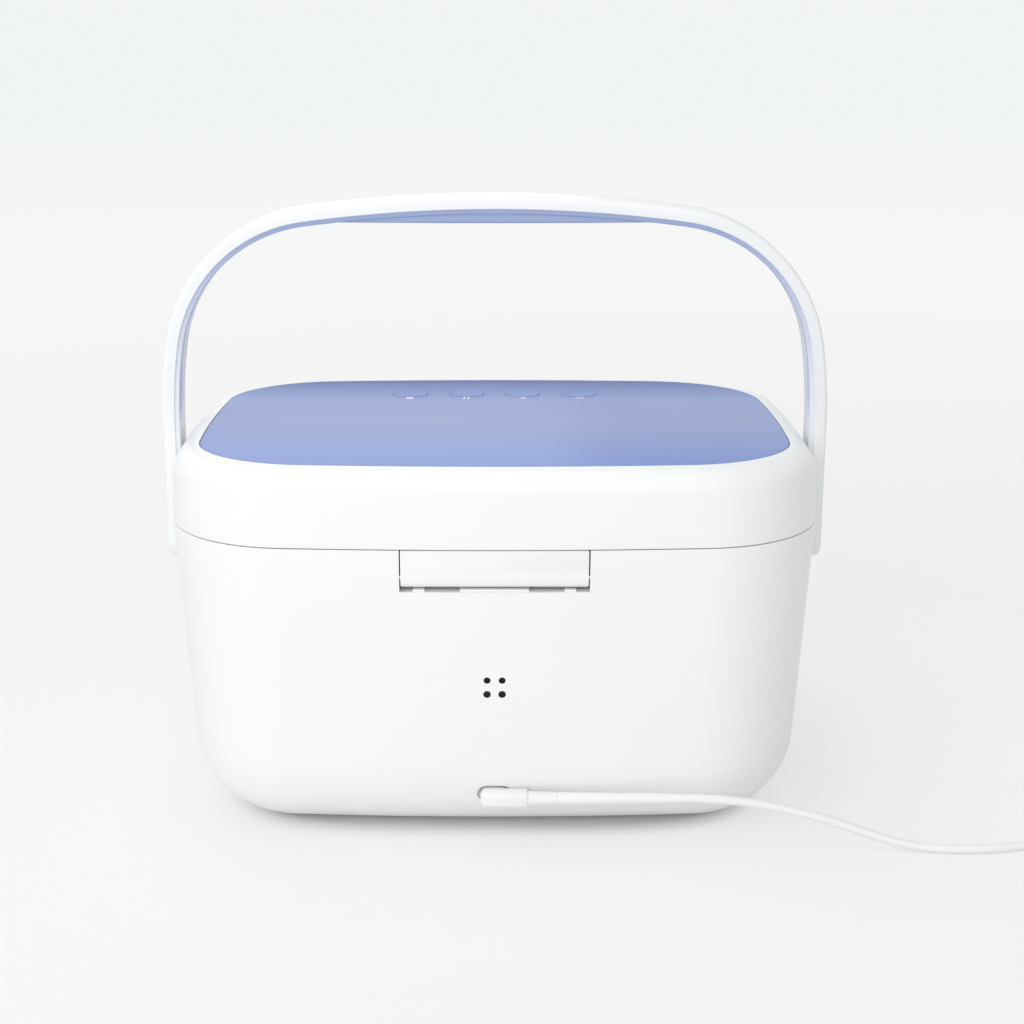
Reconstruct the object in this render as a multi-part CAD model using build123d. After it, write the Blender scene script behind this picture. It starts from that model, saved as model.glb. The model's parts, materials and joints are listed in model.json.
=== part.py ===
from build123d import *
import math
import os

# Millimetres. The front, with the buttons, faces -Y, the hinge is at +Y, and Z is up from the table.

# Case outline, measured at the line where the lid meets the base
case_half_width = 145.0
case_half_depth = 118.0
side_bow = 1300.0
corner_radius = 56.0
wall = 3.0
wall_draft = 0.062
bottom_radius = 39.0
bottom_height = 1.5
base_top = 139.2
rim_wall = 1.6

# Lid
parting_gap = 0.7
lid_wall = 3.0
lid_lip = 1.5
lid_lip_height = 2.0
lid_draft = 0.038
lid_round = 10.3
deck = 2.4

# Top panel, which slopes down towards the front
panel_rim_x = 11.6
panel_rim_y = 11.0
panel_bow = 1000.0
panel_corner = 54.0
panel_height = 169.8
panel_slope = 0.034
panel_thickness = 2.4
panel_gap = 0.25
panel_edge = 0.8

# Buttons, in the panel's own plane
button_pitch = 28.4
button_row = -64.5
button_radius = 8.55
button_gap = 0.2
button_proud = 0.25
button_travel = 0.8
button_flange = 1.15
button_flange_thickness = 0.8
button_well = 2.2
button_well_wall = 1.4
stem_radius = 2.2
stem_length = 3.6
stem_gap = 0.4
switch_size = 6.0
switch_height = 2.3
plunger_radius = 1.7
plunger_clearance = 0.1

# Handle arch: legs, a slow arc, a tight shoulder arc and a nearly flat crown
handle_side_reach = 8.9
handle_top = 277.3
handle_depth = 18.0
handle_shell_thickness = 5.2
handle_skin = 2.2
handle_side_wall = 2.4
liner_thickness = 3.0
liner_inset = 0.8
liner_rib = 1.6
leg_arc_radius = 245.0
leg_arc_turn = 8.8
shoulder_radius = 74.0
shoulder_turn = 82.35
handle_edge = 2.0
grip_half_length = 72.0
grip_bulge = 4.4
grip_depth = 14.0

# Handle pivot
pivot_y = 15.0
pivot_height = 115.9
axle_radius = 3.5
axle_running_gap = 0.05
axle_end_x = 134.5
axle_head_radius = 6.0
axle_head_thickness = 2.8
bush_wall = 1.5
bush_flange_radius = 7.6
bush_flange_thickness = 1.2
pivot_side_gap = 0.3
pivot_boss_radius = 10.0
pivot_boss_depth = 5.0
clip_radius = 6.4
clip_thickness = 1.2
clip_groove = 0.8
clip_slot = 2.6

# Lid hinge
hinge_inset = 5.1
hinge_z = 126.6
barrel_radius = 4.2
hinge_pin_radius = 1.5
hinge_running_gap = 0.06
notch_half_width = 40.4
notch_bottom = 120.9
tongue_side_gap = 0.6
tongue_seam = 0.4
tongue_thickness = 3.0
tongue_tab = 2.5
tongue_tab_top = 152.0
tongue_tab_half_width = 34.0
tongue_screw_x = 22.0
tongue_screw_drop = 5.0
pocket_wall = 2.2
pocket_cheek = 4.0
pocket_clearance = 1.5
stop_tab_x = 32.2
stop_tab_width = 5.0
stop_strip_half_width = 14.7
stop_tab_height = 0.9

# Finger scoop under the front edge of the lid
scoop_half_width = 32.0
scoop_depth = 3.8
scoop_height = 12.0
scoop_radius = 5.0

# Tub, the chamber that the mask and hose lie in
tub_gap = 14.0
tub_wall = 1.6
tub_floor = 34.0
tub_radius = 22.0
flange_thickness = 1.8
flange_drop = 1.0
fit_gap = 0.2
post_inset = 23.7
post_radius = 5.0
post_length = 52.0
tub_screw_radius = 1.5

# Gasket on the lid's inner cover
gasket_width = 2.4
gasket_offset = 1.6
gasket_lift = 0.3
cover_rise = 1.1
cover_thickness = 1.6
lid_post_x = 106.0
lid_post_y = 76.0
lid_post_radius = 3.6

# Ultraviolet lamps: a window, a lamp board and its pillars, one set in the tub floor and one in the lid
window_length = 96.0
window_width = 44.0
window_lap = 2.2
window_thickness = 1.6
lamp_board_length = 118.0
lamp_board_width = 40.0
lamp_board_rise = 6.4
board_thickness = 1.6
lamp_size = 3.6
lamp_height = 1.3
lamp_pitch = 26.0
lamp_row = 18.0
pillar_x = 55.0
pillar_y = 15.0
pillar_radius = 2.4
lamp_screw_radius = 1.0

# Bottom cover and feet
cover_lap = 5.5
opening_half_x = 80.0
opening_half_y = 52.0
opening_corner = 14.0
bottom_cover_step = 1.5
foot_radius = 8.0
foot_sunk = 0.8
foot_x = 68.0
foot_y = 40.0
bottom_screw_x = 44.0
bottom_boss_radius = 3.8
bottom_boss_height = 12.0
bottom_screw_radius = 1.4

# Power socket, plug and main board
port_height = 25.1
port_pocket_width = 15.6
port_pocket_height = 8.6
port_floor_inset = 12.8
port_wall = 2.6
socket_width = 8.94
socket_height = 3.2
socket_depth = 7.4
socket_shell = 0.3
main_board_length = 96.0
main_board_depth = 42.0
main_board_corner = 6.0
board_post_radius = 2.6

# Buzzer behind four small holes in the rear wall
sound_hole_radius = 1.5
sound_hole_pitch = 6.5
sound_height = 77.1
buzzer_radius = 11.0
buzzer_depth = 5.0
buzzer_ring = 1.5

# Magnets that hold the lid shut
magnet_radius = 4.0
magnet_thickness = 2.5
magnet_x = 62.0
magnet_inset = 9.4

# Wire rack that lifts the mask off the tub floor
rack_half_length = 96.0
rack_half_width = 62.0
rack_corner = 24.0
rack_wire = 1.6
rack_cross_wire = 1.2
rack_height = 46.0
rack_wires = 7

# Power cord
cord_diameter = 4.0
plug_inset = 4.6
plug_right = 6.3
plug_left = -14.3
plug_height = 8.0
plug_reach = 7.1
sleeve_end = -75.0
coil_middle_radius = 22.0
coil_columns = 3
coil_layers = 2
coil_x = -274.0
coil_y = 117.0
usb_plug_length = 26.0
usb_plug_width = 13.0
usb_plug_height = 7.0
usb_tip_length = 12.0
usb_tip_width = 12.0
usb_tip_height = 4.5
usb_plug_x = -257.0
usb_plug_y = 90.0
cord_route = [
    (-75.0, 113.4, 25.1),
    (-90.0, 113.4, 25.1),
    (-106.0, 112.7, 23.6),
    (-123.0, 112.4, 20.6),
    (-140.0, 112.3, 16.4),
    (-157.0, 112.6, 10.9),
    (-172.0, 113.2, 5.4),
    (-185.0, 114.6, 2.5),
    (-199.0, 116.4, 2.05),
    (-214.0, 116.6, 2.1),
    (-228.0, 114.6, 2.05),
    (-240.0, 110.6, 2.0),
    (-250.0, 104.6, 2.05),
]

lid_bottom = base_top + parting_gap
cover_height = lid_bottom + cover_rise
panel_half_width = case_half_width - panel_rim_x
panel_half_depth = case_half_depth - panel_rim_y
handle_half_width = case_half_width + handle_side_reach
hinge_y = case_half_depth - hinge_inset
port_floor_y = case_half_depth - port_floor_inset
plug_y = case_half_depth - plug_inset
magnet_y = case_half_depth - magnet_inset
flange_top = base_top - flange_drop
ledge_height = flange_top - flange_thickness
panel_tilt = math.degrees(math.atan(panel_slope))
panel_place = Location((0, 0, panel_height), (panel_tilt, 0, 0))
leg_inner_x = handle_half_width - handle_shell_thickness - liner_thickness
pivot_boss_start = case_half_width - wall - pivot_boss_depth
button_well_radius = button_radius + button_flange + 0.5
button_columns = [button_pitch * (index - 1.5) for index in range(4)]
button_names = ["button_on", "button_start", "button_pause", "button_off"]


def plan_wire(half_x, half_y, bow, corner, inward, height):
    # closed outline of four bowed sides and four corner arcs, moved inwards by one offset
    span = math.hypot(bow - half_x, bow - half_y)
    lift = math.sqrt((bow - corner) ** 2 - span ** 2 / 4)
    corner_x = lift * (bow - half_y) / span - (bow - half_x) / 2
    corner_y = lift * (bow - half_x) / span - (bow - half_y) / 2
    side = Vector(corner_x + bow - half_x, corner_y).normalized()
    end = Vector(corner_x, corner_y + bow - half_y).normalized()
    middle = (side + end).normalized()
    radius = corner - inward
    first = Vector(corner_x, corner_y) + side * radius
    second = Vector(corner_x, corner_y) + middle * radius
    third = Vector(corner_x, corner_y) + end * radius
    right = Vector(half_x - inward, 0)
    rear = Vector(0, half_y - inward)

    def turned(point, sign_x, sign_y):
        return Vector(sign_x * point.X, sign_y * point.Y, height)

    arcs = [(turned(first, 1, -1), turned(right, 1, 1), turned(first, 1, 1)),
            (turned(first, -1, 1), turned(right, -1, 1), turned(first, -1, -1)),
            (turned(third, 1, 1), turned(rear, 1, 1), turned(third, -1, 1)),
            (turned(third, -1, -1), turned(rear, 1, -1), turned(third, 1, -1))]
    for sign_x, sign_y in four_corners(1, 1):
        arcs.append([turned(point, sign_x, sign_y) for point in (first, second, third)])
    return Wire([Edge.make_three_point_arc(*arc) for arc in arcs])


def case_wire(inward, height):
    return plan_wire(case_half_width, case_half_depth, side_bow, corner_radius, inward, height)


def prism(inward, low, high):
    # straight block with the case's outline
    return Solid.extrude(Face(case_wire(inward, low)), Vector(0, 0, high - low))


def rounded_plate(half_x, half_y, corner, low, high):
    return extrude(Pos(0, 0, low) * RectangleRounded(2 * half_x, 2 * half_y, corner), high - low)


def panel_plate(outward, low, high):
    wire = plan_wire(panel_half_width, panel_half_depth, panel_bow, panel_corner, -outward, low)
    return Solid.extrude(Face(wire), Vector(0, 0, high - low))


def bucket(inward, top, floor, radius):
    # drafted wall over a large rounded bottom edge
    draft = math.degrees(math.atan(wall_draft))
    form = Solid.extrude_taper(Face(case_wire(inward, top)), Vector(0, 0, floor - top), draft)
    return fillet(form.edges().group_by(Axis.Z)[0], radius)


def base_form(shrink):
    return bucket(shrink, base_top, bottom_height + shrink, bottom_radius - shrink)


def lid_form(shrink, drop):
    # leaning side, cut by the sloping top and rounded over
    low = lid_bottom if shrink == 0 else lid_bottom - 1
    rise = panel_height + panel_slope * case_half_depth + 2 - low
    draft = math.degrees(math.atan(lid_draft))
    form = Solid.extrude_taper(Face(case_wire(shrink, low)), Vector(0, 0, rise), draft)
    above = panel_place * Pos(0, 0, 50 - drop) * Box(3 * case_half_width, 3 * case_half_depth, 100)
    form -= above
    return fillet(form.faces().sort_by(Axis.Z)[-1].edges(), lid_round - shrink)


def rod(radius, length, centre, direction):
    plane = Plane(origin=centre, z_dir=direction)
    return extrude(plane * Circle(radius), length)


def block(low, high):
    size = [b - a for a, b in zip(low, high)]
    middle = [(a + b) / 2 for a, b in zip(low, high)]
    return Pos(*middle) * Box(*size)


def both_sides(shape):
    return [shape, mirror(shape, Plane.YZ)]


def four_corners(x, y):
    return [(x, y), (-x, y), (-x, -y), (x, -y)]


def screw(radius, length, head_radius, head_height, place):
    # pan head below its seat, shank upwards
    shank = rod(radius, length, place, (0, 0, 1))
    head = rod(head_radius, head_height, (place[0], place[1], place[2] - head_height), (0, 0, 1))
    return shank + head


def pivot_rod(side, radius, start, end):
    # rod on the handle's pivot line, between two distances from the middle
    return rod(radius, end - start, (side * start, pivot_y, pivot_height), (side, 0, 0))


def rear_wall_y(height, shrink=0.0):
    rise = height - bottom_height
    inset = 0.0
    if rise < bottom_radius:
        inset = bottom_radius - math.sqrt(bottom_radius ** 2 - (bottom_radius - rise) ** 2)
    return case_half_depth - wall_draft * (base_top - height) - inset - shrink


def hinge_pocket():
    # moulded box behind the notch, with cheeks that hold the hinge pin
    back = hinge_y - barrel_radius - pocket_clearance
    front = rear_wall_y(notch_bottom, wall) + wall / 2
    outer = notch_half_width + pocket_cheek
    box = block((-outer, back - pocket_wall, notch_bottom - pocket_wall), (outer, front, ledge_height))
    room = block((-notch_half_width, back, notch_bottom), (notch_half_width, front + wall, base_top))
    return box - room


def hinge_stops():
    # low tabs on the pocket floor, seen through the gap under the tongue
    low = hinge_y - barrel_radius
    high = rear_wall_y(notch_bottom) - 0.6
    top = notch_bottom + stop_tab_height
    tabs = [block((-stop_strip_half_width, low, notch_bottom - 1), (stop_strip_half_width, high, top))]
    half = stop_tab_width / 2
    return tabs + both_sides(block((stop_tab_x - half, low, notch_bottom - 1), (stop_tab_x + half, high, top)))


def port_cutter():
    pocket = Plane(origin=(0, port_floor_y, port_height), x_dir=(1, 0, 0), z_dir=(0, 1, 0))
    return extrude(pocket * SlotOverall(port_pocket_width, port_pocket_height), 20)


def base_shell():
    outer = base_form(0)
    inner = base_form(wall)
    shell = outer - inner
    rim = prism(rim_wall, ledge_height, base_top + 1)
    shell -= rim
    # posts that carry the tub's flange
    for x, y in four_corners(case_half_width - post_inset, case_half_depth - post_inset):
        shell += rod(post_radius, post_length, (x, y, ledge_height - post_length), (0, 0, 1)) & outer
        shell -= rod(tub_screw_radius, 12, (x, y, ledge_height - 12), (0, 0, 1))
    # bottom opening with a rebate for its cover
    hole = rounded_plate(opening_half_x, opening_half_y, opening_corner, 0, bottom_height + wall + 1)
    rebate = rounded_plate(opening_half_x + cover_lap, opening_half_y + cover_lap, opening_corner + cover_lap,
                           0, bottom_height + bottom_cover_step)
    for x, y in four_corners(bottom_screw_x, bottom_screw_y()):
        boss = rod(bottom_boss_radius, bottom_boss_height, (x, y, bottom_height + bottom_cover_step), (0, 0, 1))
        shell += boss
    shell -= hole - bosses_only()
    shell -= rebate
    for x, y in four_corners(bottom_screw_x, bottom_screw_y()):
        shell -= rod(bottom_screw_radius, bottom_boss_height - 3, (x, y, bottom_height), (0, 0, 1))
    # hinge notch in the rear wall and the pocket behind it
    shell += hinge_pocket()
    low_y = hinge_y - barrel_radius - pocket_clearance
    high_y = case_half_depth + 5
    shell -= block((-notch_half_width, low_y, notch_bottom), (notch_half_width, high_y, base_top + 1))
    for stop in hinge_stops():
        shell += stop
    reach_x = notch_half_width + pocket_cheek - 1
    shell -= rod(hinge_pin_radius, 2 * reach_x, (-reach_x, hinge_y, hinge_z), (1, 0, 0))
    # finger scoop under the lid's front edge
    front = -case_half_depth
    pad_y = front + scoop_depth + wall
    pad = block((-scoop_half_width - wall, front + wall / 2, base_top - scoop_height - wall),
                (scoop_half_width + wall, pad_y, ledge_height)) & outer
    shell += pad
    scoop = block((-scoop_half_width, front - 5, base_top - scoop_height),
                  (scoop_half_width, front + scoop_depth, base_top + scoop_height))
    scoop = fillet(scoop.edges().filter_by(Axis.Y), scoop_radius)
    scoop = fillet(scoop.faces().sort_by(Axis.Y)[-1].edges(), scoop_depth * 0.6)
    shell -= scoop
    # raised bosses and bores for the handle axles
    bore = axle_radius + axle_running_gap + bush_wall
    for side in (1, -1):
        shell += pivot_rod(side, pivot_boss_radius, pivot_boss_start, pivot_face_x())
        shell -= pivot_rod(side, bore, pivot_boss_start - 5, case_half_width + 10)
    # sound holes and the ring that holds the buzzer
    wall_in = rear_wall_y(sound_height, wall)
    ring = rod(buzzer_radius + fit_gap + buzzer_ring, buzzer_depth, (0, wall_in + 1, sound_height), (0, -1, 0))
    ring -= rod(buzzer_radius + fit_gap, buzzer_depth + 3, (0, wall_in + 2, sound_height), (0, -1, 0))
    shell += ring & outer
    half = sound_hole_pitch / 2
    for x, z in four_corners(half, half):
        shell -= rod(sound_hole_radius, 20, (x, wall_in - 1, sound_height + z), (0, 1, 0))
    # power port: pocket, floor and socket opening
    pad_low = port_floor_y - port_wall
    half_x = port_pocket_width / 2 + port_wall
    half_z = port_pocket_height / 2 + port_wall
    pad = block((-half_x, pad_low, port_height - half_z), (half_x, port_floor_y + 6, port_height + half_z))
    shell += pad & outer
    shell -= port_cutter()
    opening = Plane(origin=(0, pad_low - 1, port_height), x_dir=(1, 0, 0), z_dir=(0, 1, 0))
    shell -= extrude(opening * SlotOverall(socket_width + 0.3, socket_height + 0.3), port_wall + 2)
    # posts under the main board
    post_height = main_board_low() - bottom_height - 1
    for x, y in main_board_posts():
        shell += rod(board_post_radius, post_height, (x, y, bottom_height + 1), (0, 0, 1)) & outer
        shell -= rod(lamp_screw_radius, 8, (x, y, main_board_low() - 8), (0, 0, 1))
    return shell


def bottom_screw_y():
    return opening_half_y + cover_lap / 2


def bosses_only():
    shape = Part()
    for x, y in four_corners(bottom_screw_x, bottom_screw_y()):
        shape += rod(bottom_boss_radius, bottom_boss_height, (x, y, bottom_height), (0, 0, 1))
    return shape


def pivot_face_x():
    # outer face of the boss that the bush flange seats on
    return leg_inner_x - pivot_side_gap - bush_flange_thickness


def main_board_low():
    return port_height - socket_height / 2 - board_thickness


def main_board_posts():
    rear = port_floor_y - socket_depth + 3
    far_y = rear - main_board_corner
    near_y = rear - main_board_depth + main_board_corner
    x = main_board_length / 2 - main_board_corner
    return [(x, near_y), (-x, near_y), (-x, far_y), (x, far_y)]


def bottom_cover():
    x = opening_half_x
    y = opening_half_y
    high = bottom_height + bottom_cover_step
    lap = cover_lap - fit_gap
    cover = rounded_plate(x + lap, y + lap, opening_corner + lap, bottom_height, high)
    for px, py in four_corners(bottom_screw_x, bottom_screw_y()):
        cover -= rod(bottom_screw_radius + 0.1, 6, (px, py, bottom_height - 1), (0, 0, 1))
    # stiffening ribs, short of the bosses
    for rib_y in (-y / 2, 0, y / 2):
        cover += block((-x * 0.8, rib_y - 0.8, high), (x * 0.8, rib_y + 0.8, high + 2))
    for px, py in four_corners(foot_x, foot_y):
        cover -= rod(foot_radius, foot_sunk, (px, py, bottom_height), (0, 0, 1))
    return cover


def rubber_feet():
    feet = []
    for x, y in four_corners(foot_x, foot_y):
        foot = rod(foot_radius, bottom_height + foot_sunk, (x, y, 0), (0, 0, 1))
        feet.append(chamfer(foot.edges().group_by(Axis.Z)[0], 0.5))
    return feet


def bottom_screws():
    return [screw(bottom_screw_radius, bottom_boss_height - 4, 2.4, 1.2, (x, y, bottom_height))
            for x, y in four_corners(bottom_screw_x, bottom_screw_y())]


def tub_form(shrink, floor, top):
    return bucket(wall + tub_gap + shrink, top, floor, tub_radius - shrink)


def inner_tub():
    low = tub_floor - tub_wall
    tub = tub_form(0, low, flange_top)
    flange = prism(rim_wall + fit_gap, ledge_height, flange_top)
    # the flange stops short of the hinge pocket and the scoop's pad
    pocket_x = notch_half_width + pocket_cheek + fit_gap
    pocket_y = hinge_y - barrel_radius - pocket_clearance - pocket_wall - fit_gap
    flange -= block((-pocket_x, pocket_y, 0), (pocket_x, case_half_depth, base_top))
    pad_x = scoop_half_width + wall + fit_gap
    pad_y = -case_half_depth + scoop_depth + wall + fit_gap
    flange -= block((-pad_x, -case_half_depth - 1, 0), (pad_x, pad_y, base_top))
    tub += flange
    tub -= tub_form(tub_wall, tub_floor, flange_top)
    for x, y in four_corners(case_half_width - post_inset, case_half_depth - post_inset):
        tub -= rod(tub_screw_radius + 0.2, 10, (x, y, ledge_height - 2), (0, 0, 1))
    # lamp window, seated on a rebate from below
    half_x = window_length / 2
    half_y = window_width / 2
    tub -= block((-half_x, -half_y, low - 1), (half_x, half_y, tub_floor + 1))
    for x, y in four_corners(pillar_x, pillar_y):
        pillar = rod(pillar_radius, lamp_board_rise, (x, y, low - lamp_board_rise), (0, 0, 1))
        tub += pillar - rod(lamp_screw_radius, 5, (x, y, low - lamp_board_rise), (0, 0, 1))
    return tub


def tub_screws():
    screws = []
    for x, y in four_corners(case_half_width - post_inset, case_half_depth - post_inset):
        shank = rod(tub_screw_radius, 11, (x, y, flange_top - 11), (0, 0, 1))
        screws.append(shank + rod(2.8, 0.9, (x, y, flange_top), (0, 0, 1)))
    return screws


def lamp_window(side_height, up):
    # clear plate that laps over its opening on the lamp side
    x = window_length / 2 + window_lap
    y = window_width / 2 + window_lap
    low = side_height if up else side_height - window_thickness
    plate = block((-x, -y, low), (x, y, low + window_thickness))
    return fillet(plate.edges().filter_by(Axis.Z), 3)


def lamp_board(side_height, up):
    low = side_height + lamp_board_rise if up else side_height - lamp_board_rise - board_thickness
    board = block((-lamp_board_length / 2, -lamp_board_width / 2, low),
                  (lamp_board_length / 2, lamp_board_width / 2, low + board_thickness))
    for x, y in four_corners(pillar_x, pillar_y):
        board -= rod(lamp_screw_radius + 0.1, 10, (x, y, low - 5), (0, 0, 1))
    return board


def lamps(side_height, up):
    face = side_height + lamp_board_rise if up else side_height - lamp_board_rise
    low = face - lamp_height if up else face
    chips = []
    for column in (-1, 0, 1):
        for row in (-0.5, 0.5):
            x = column * lamp_pitch
            y = row * lamp_row
            half = lamp_size / 2
            chips.append(block((x - half, y - half, low), (x + half, y + half, low + lamp_height)))
    return chips


def lamp_screws(side_height, up):
    screws = []
    for x, y in four_corners(pillar_x, pillar_y):
        if up:
            seat = side_height + lamp_board_rise + board_thickness
            shank = rod(lamp_screw_radius, 6, (x, y, seat - 6), (0, 0, 1))
            screws.append(shank + rod(1.9, 1.2, (x, y, seat), (0, 0, 1)))
        else:
            seat = side_height - lamp_board_rise - board_thickness
            screws.append(screw(lamp_screw_radius, 6, 1.9, 1.2, (x, y, seat)))
    return screws


def main_board():
    low = main_board_low()
    rear = port_floor_y - socket_depth + 3
    half = main_board_length / 2
    board = block((-half, rear - main_board_depth, low), (half, rear, low + board_thickness))
    board = fillet(board.edges().filter_by(Axis.Z), 2)
    for x, y in main_board_posts():
        board -= rod(lamp_screw_radius + 0.1, 10, (x, y, low - 5), (0, 0, 1))
    return board


def main_board_parts():
    # the largest components: a controller, an inductor, two capacitors and the lamp connectors
    low = main_board_low() + board_thickness
    rear = port_floor_y - socket_depth
    parts = [block((-16, rear - 26, low), (-7, rear - 17, low + 1.4))]
    parts.append(block((6, rear - 24, low), (14, rear - 16, low + 3.4)))
    for x in (22, 31):
        parts.append(rod(3.1, 5.6, (x, rear - 14, low), (0, 0, 1)))
    for x in (-32, 32):
        connector = block((x - 5, rear - 34, low), (x + 5, rear - 29, low + 4.5))
        connector -= block((x - 4, rear - 33, low + 1), (x + 4, rear - 30, low + 5))
        parts.append(connector)
    return parts


def main_board_screws():
    seat = main_board_low() + board_thickness
    screws = []
    for x, y in main_board_posts():
        shank = rod(lamp_screw_radius, 7, (x, y, seat - 7), (0, 0, 1))
        screws.append(shank + rod(2.0, 1.2, (x, y, seat), (0, 0, 1)))
    return screws


def power_socket():
    mouth = Plane(origin=(0, port_floor_y - socket_depth, port_height), x_dir=(1, 0, 0), z_dir=(0, 1, 0))
    can = extrude(mouth * SlotOverall(socket_width, socket_height), socket_depth)
    hollow = Plane(origin=(0, port_floor_y - socket_depth + 0.8, port_height), x_dir=(1, 0, 0), z_dir=(0, 1, 0))
    inside = SlotOverall(socket_width - 2 * socket_shell, socket_height - 2 * socket_shell)
    can -= extrude(hollow * inside, socket_depth)
    tongue_y = port_floor_y - socket_depth + 0.5
    return can + block((-3.2, tongue_y, port_height - 0.35), (3.2, tongue_y + 5, port_height + 0.35))


def buzzer():
    wall_in = rear_wall_y(sound_height + buzzer_radius, wall) - fit_gap
    low = rear_wall_y(sound_height - buzzer_radius, wall) - fit_gap
    face = min(wall_in, low)
    body = rod(buzzer_radius, buzzer_depth, (0, face, sound_height), (0, -1, 0))
    body -= rod(2.0, 1.5, (0, face, sound_height), (0, -1, 0))
    return chamfer(body.edges().group_by(Axis.Y)[0], 0.6)


def wire_rack():
    # rounded wire loop, cross wires and four legs that stand on the tub floor
    outline = RectangleRounded(2 * rack_half_length, 2 * rack_half_width, rack_corner)
    path = (Plane.XY.offset(rack_height) * outline).wires()[0]
    start = path @ 0
    heading = path % 0
    rack = sweep(Plane(origin=start, z_dir=heading) * Circle(rack_wire), path=path)
    spacing = 2 * (rack_half_length - rack_corner) / (rack_wires - 1)
    for index in range(rack_wires):
        x = -rack_half_length + rack_corner + index * spacing
        rack += rod(rack_cross_wire, 2 * rack_half_width, (x, -rack_half_width, rack_height), (0, 1, 0))
    leg_x = rack_half_length - rack_corner
    for x, y in four_corners(leg_x, rack_half_width):
        rack += rod(rack_cross_wire, rack_height - tub_floor, (x, y, tub_floor), (0, 0, 1))
    return rack


def base_magnets():
    return [rod(magnet_radius, magnet_thickness, (x, -magnet_y, ledge_height - magnet_thickness), (0, 0, 1))
            for x in (-magnet_x, magnet_x)]


def lid_magnets():
    seat = cover_height + cover_thickness
    return [rod(magnet_radius, magnet_thickness, (x, -magnet_y, seat), (0, 0, 1))
            for x in (-magnet_x, magnet_x)]


def hinge_pin():
    reach = notch_half_width + pocket_cheek - 1
    return rod(hinge_pin_radius, 2 * reach, (-reach, hinge_y, hinge_z), (1, 0, 0))


def tongue_tab_y():
    # the tab lies against the inside of the lid's leaning rear wall
    lean = lid_draft * (tongue_tab_top - lid_bottom + 1)
    return case_half_depth - lid_wall - lean - fit_gap


def hinge_tongue():
    # leaf flush with the rear wall, a barrel round the pin, and a tab inside the lid
    half = notch_half_width - tongue_side_gap
    barrel = rod(barrel_radius, 2 * half, (-half, hinge_y, hinge_z), (1, 0, 0))
    top = lid_bottom - tongue_seam
    outer_low = hinge_y + barrel_radius
    outer_top = rear_wall_y(top)
    tab_y = tongue_tab_y()
    with BuildPart() as leaf:
        with BuildSketch(Plane.YZ):
            with BuildLine():
                Polyline((outer_low, hinge_z), (outer_top, top), (tab_y, top), (tab_y - tongue_tab, top),
                         (outer_low - tongue_thickness, hinge_z), close=True)
            make_face()
        extrude(amount=half, both=True)
    tab = block((-tongue_tab_half_width, tab_y - tongue_tab, hinge_z + barrel_radius + 4),
                (tongue_tab_half_width, tab_y, tongue_tab_top))
    tab = fillet(tab.edges().filter_by(Axis.Y).group_by(Axis.Z)[-1], 3)
    tongue = barrel + leaf.part + tab
    tongue -= rod(hinge_pin_radius + hinge_running_gap, 2 * half + 2, (-half - 1, hinge_y, hinge_z), (1, 0, 0))
    for x in (-tongue_screw_x, tongue_screw_x):
        tongue -= rod(1.3, 10, (x, tab_y - 5, tongue_tab_top - tongue_screw_drop), (0, 1, 0))
    return tongue


def tongue_screws():
    tab_y = tongue_tab_y()
    screws = []
    for x in (-tongue_screw_x, tongue_screw_x):
        seat = tab_y - tongue_tab
        shank = rod(1.2, tongue_tab + 1.6, (x, seat, tongue_tab_top - tongue_screw_drop), (0, 1, 0))
        screws.append(shank + rod(2.5, 1.2, (x, seat - 1.2, tongue_tab_top - tongue_screw_drop), (0, 1, 0)))
    return screws


def button_cup(x):
    height = button_well + button_well_wall
    low = -panel_thickness - height
    return rod(button_well_radius + button_well_wall, height, (x, button_row, low), (0, 0, 1))


def board_post_places():
    x = button_columns[-1] + 15
    return four_corners(x, 8)


def button_board_top():
    plunger_top = stem_bottom() - button_travel - plunger_clearance
    return plunger_top - 0.8 - switch_height


def stem_bottom():
    return -panel_thickness - fit_gap - button_flange_thickness - stem_length


def lid_shell():
    shell = lid_form(0, 0) - lid_form(lid_wall, panel_thickness + deck)
    shell -= prism(lid_lip, lid_bottom - 1, lid_bottom + lid_lip_height)
    # everything that follows the panel is made in its sloping plane
    local = Part()
    for x in button_columns:
        local += button_cup(x)
    for x, y in board_post_places():
        height = -panel_thickness - button_board_top()
        local += rod(3, height, (x, button_row + y, button_board_top()), (0, 0, 1))
    shell += panel_place * local
    recess = panel_plate(panel_gap, -panel_thickness, 5)
    for x in button_columns:
        recess += rod(button_well_radius, 10, (x, button_row, -panel_thickness - button_well), (0, 0, 1))
        recess += rod(stem_radius + stem_gap, 20, (x, button_row, -15), (0, 0, 1))
    for x, y in board_post_places():
        recess += rod(lamp_screw_radius, 6, (x, button_row + y, button_board_top()), (0, 0, 1))
    shell -= panel_place * recess
    # posts down to the inner cover
    for x, y in four_corners(lid_post_x, lid_post_y):
        top = panel_height - panel_thickness - deck / 2 + panel_slope * y
        low = cover_height + cover_thickness
        post = rod(lid_post_radius, top - low, (x, y, low), (0, 0, 1))
        shell += post
        shell -= rod(lamp_screw_radius, 8, (x, y, low), (0, 0, 1))
    # pilot holes for the hinge tongue's screws
    tab_y = tongue_tab_y()
    for x in (-tongue_screw_x, tongue_screw_x):
        shell -= rod(1.2, 1.6, (x, tab_y, tongue_tab_top - tongue_screw_drop), (0, 1, 0))
    return shell


def top_panel():
    plate = panel_plate(0, -panel_thickness, 0)
    plate = fillet(plate.edges().group_by(Axis.Z)[-1], panel_edge)
    for x in button_columns:
        plate -= rod(button_radius + button_gap, 10, (x, button_row, -5), (0, 0, 1))
    return panel_place * plate


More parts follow.
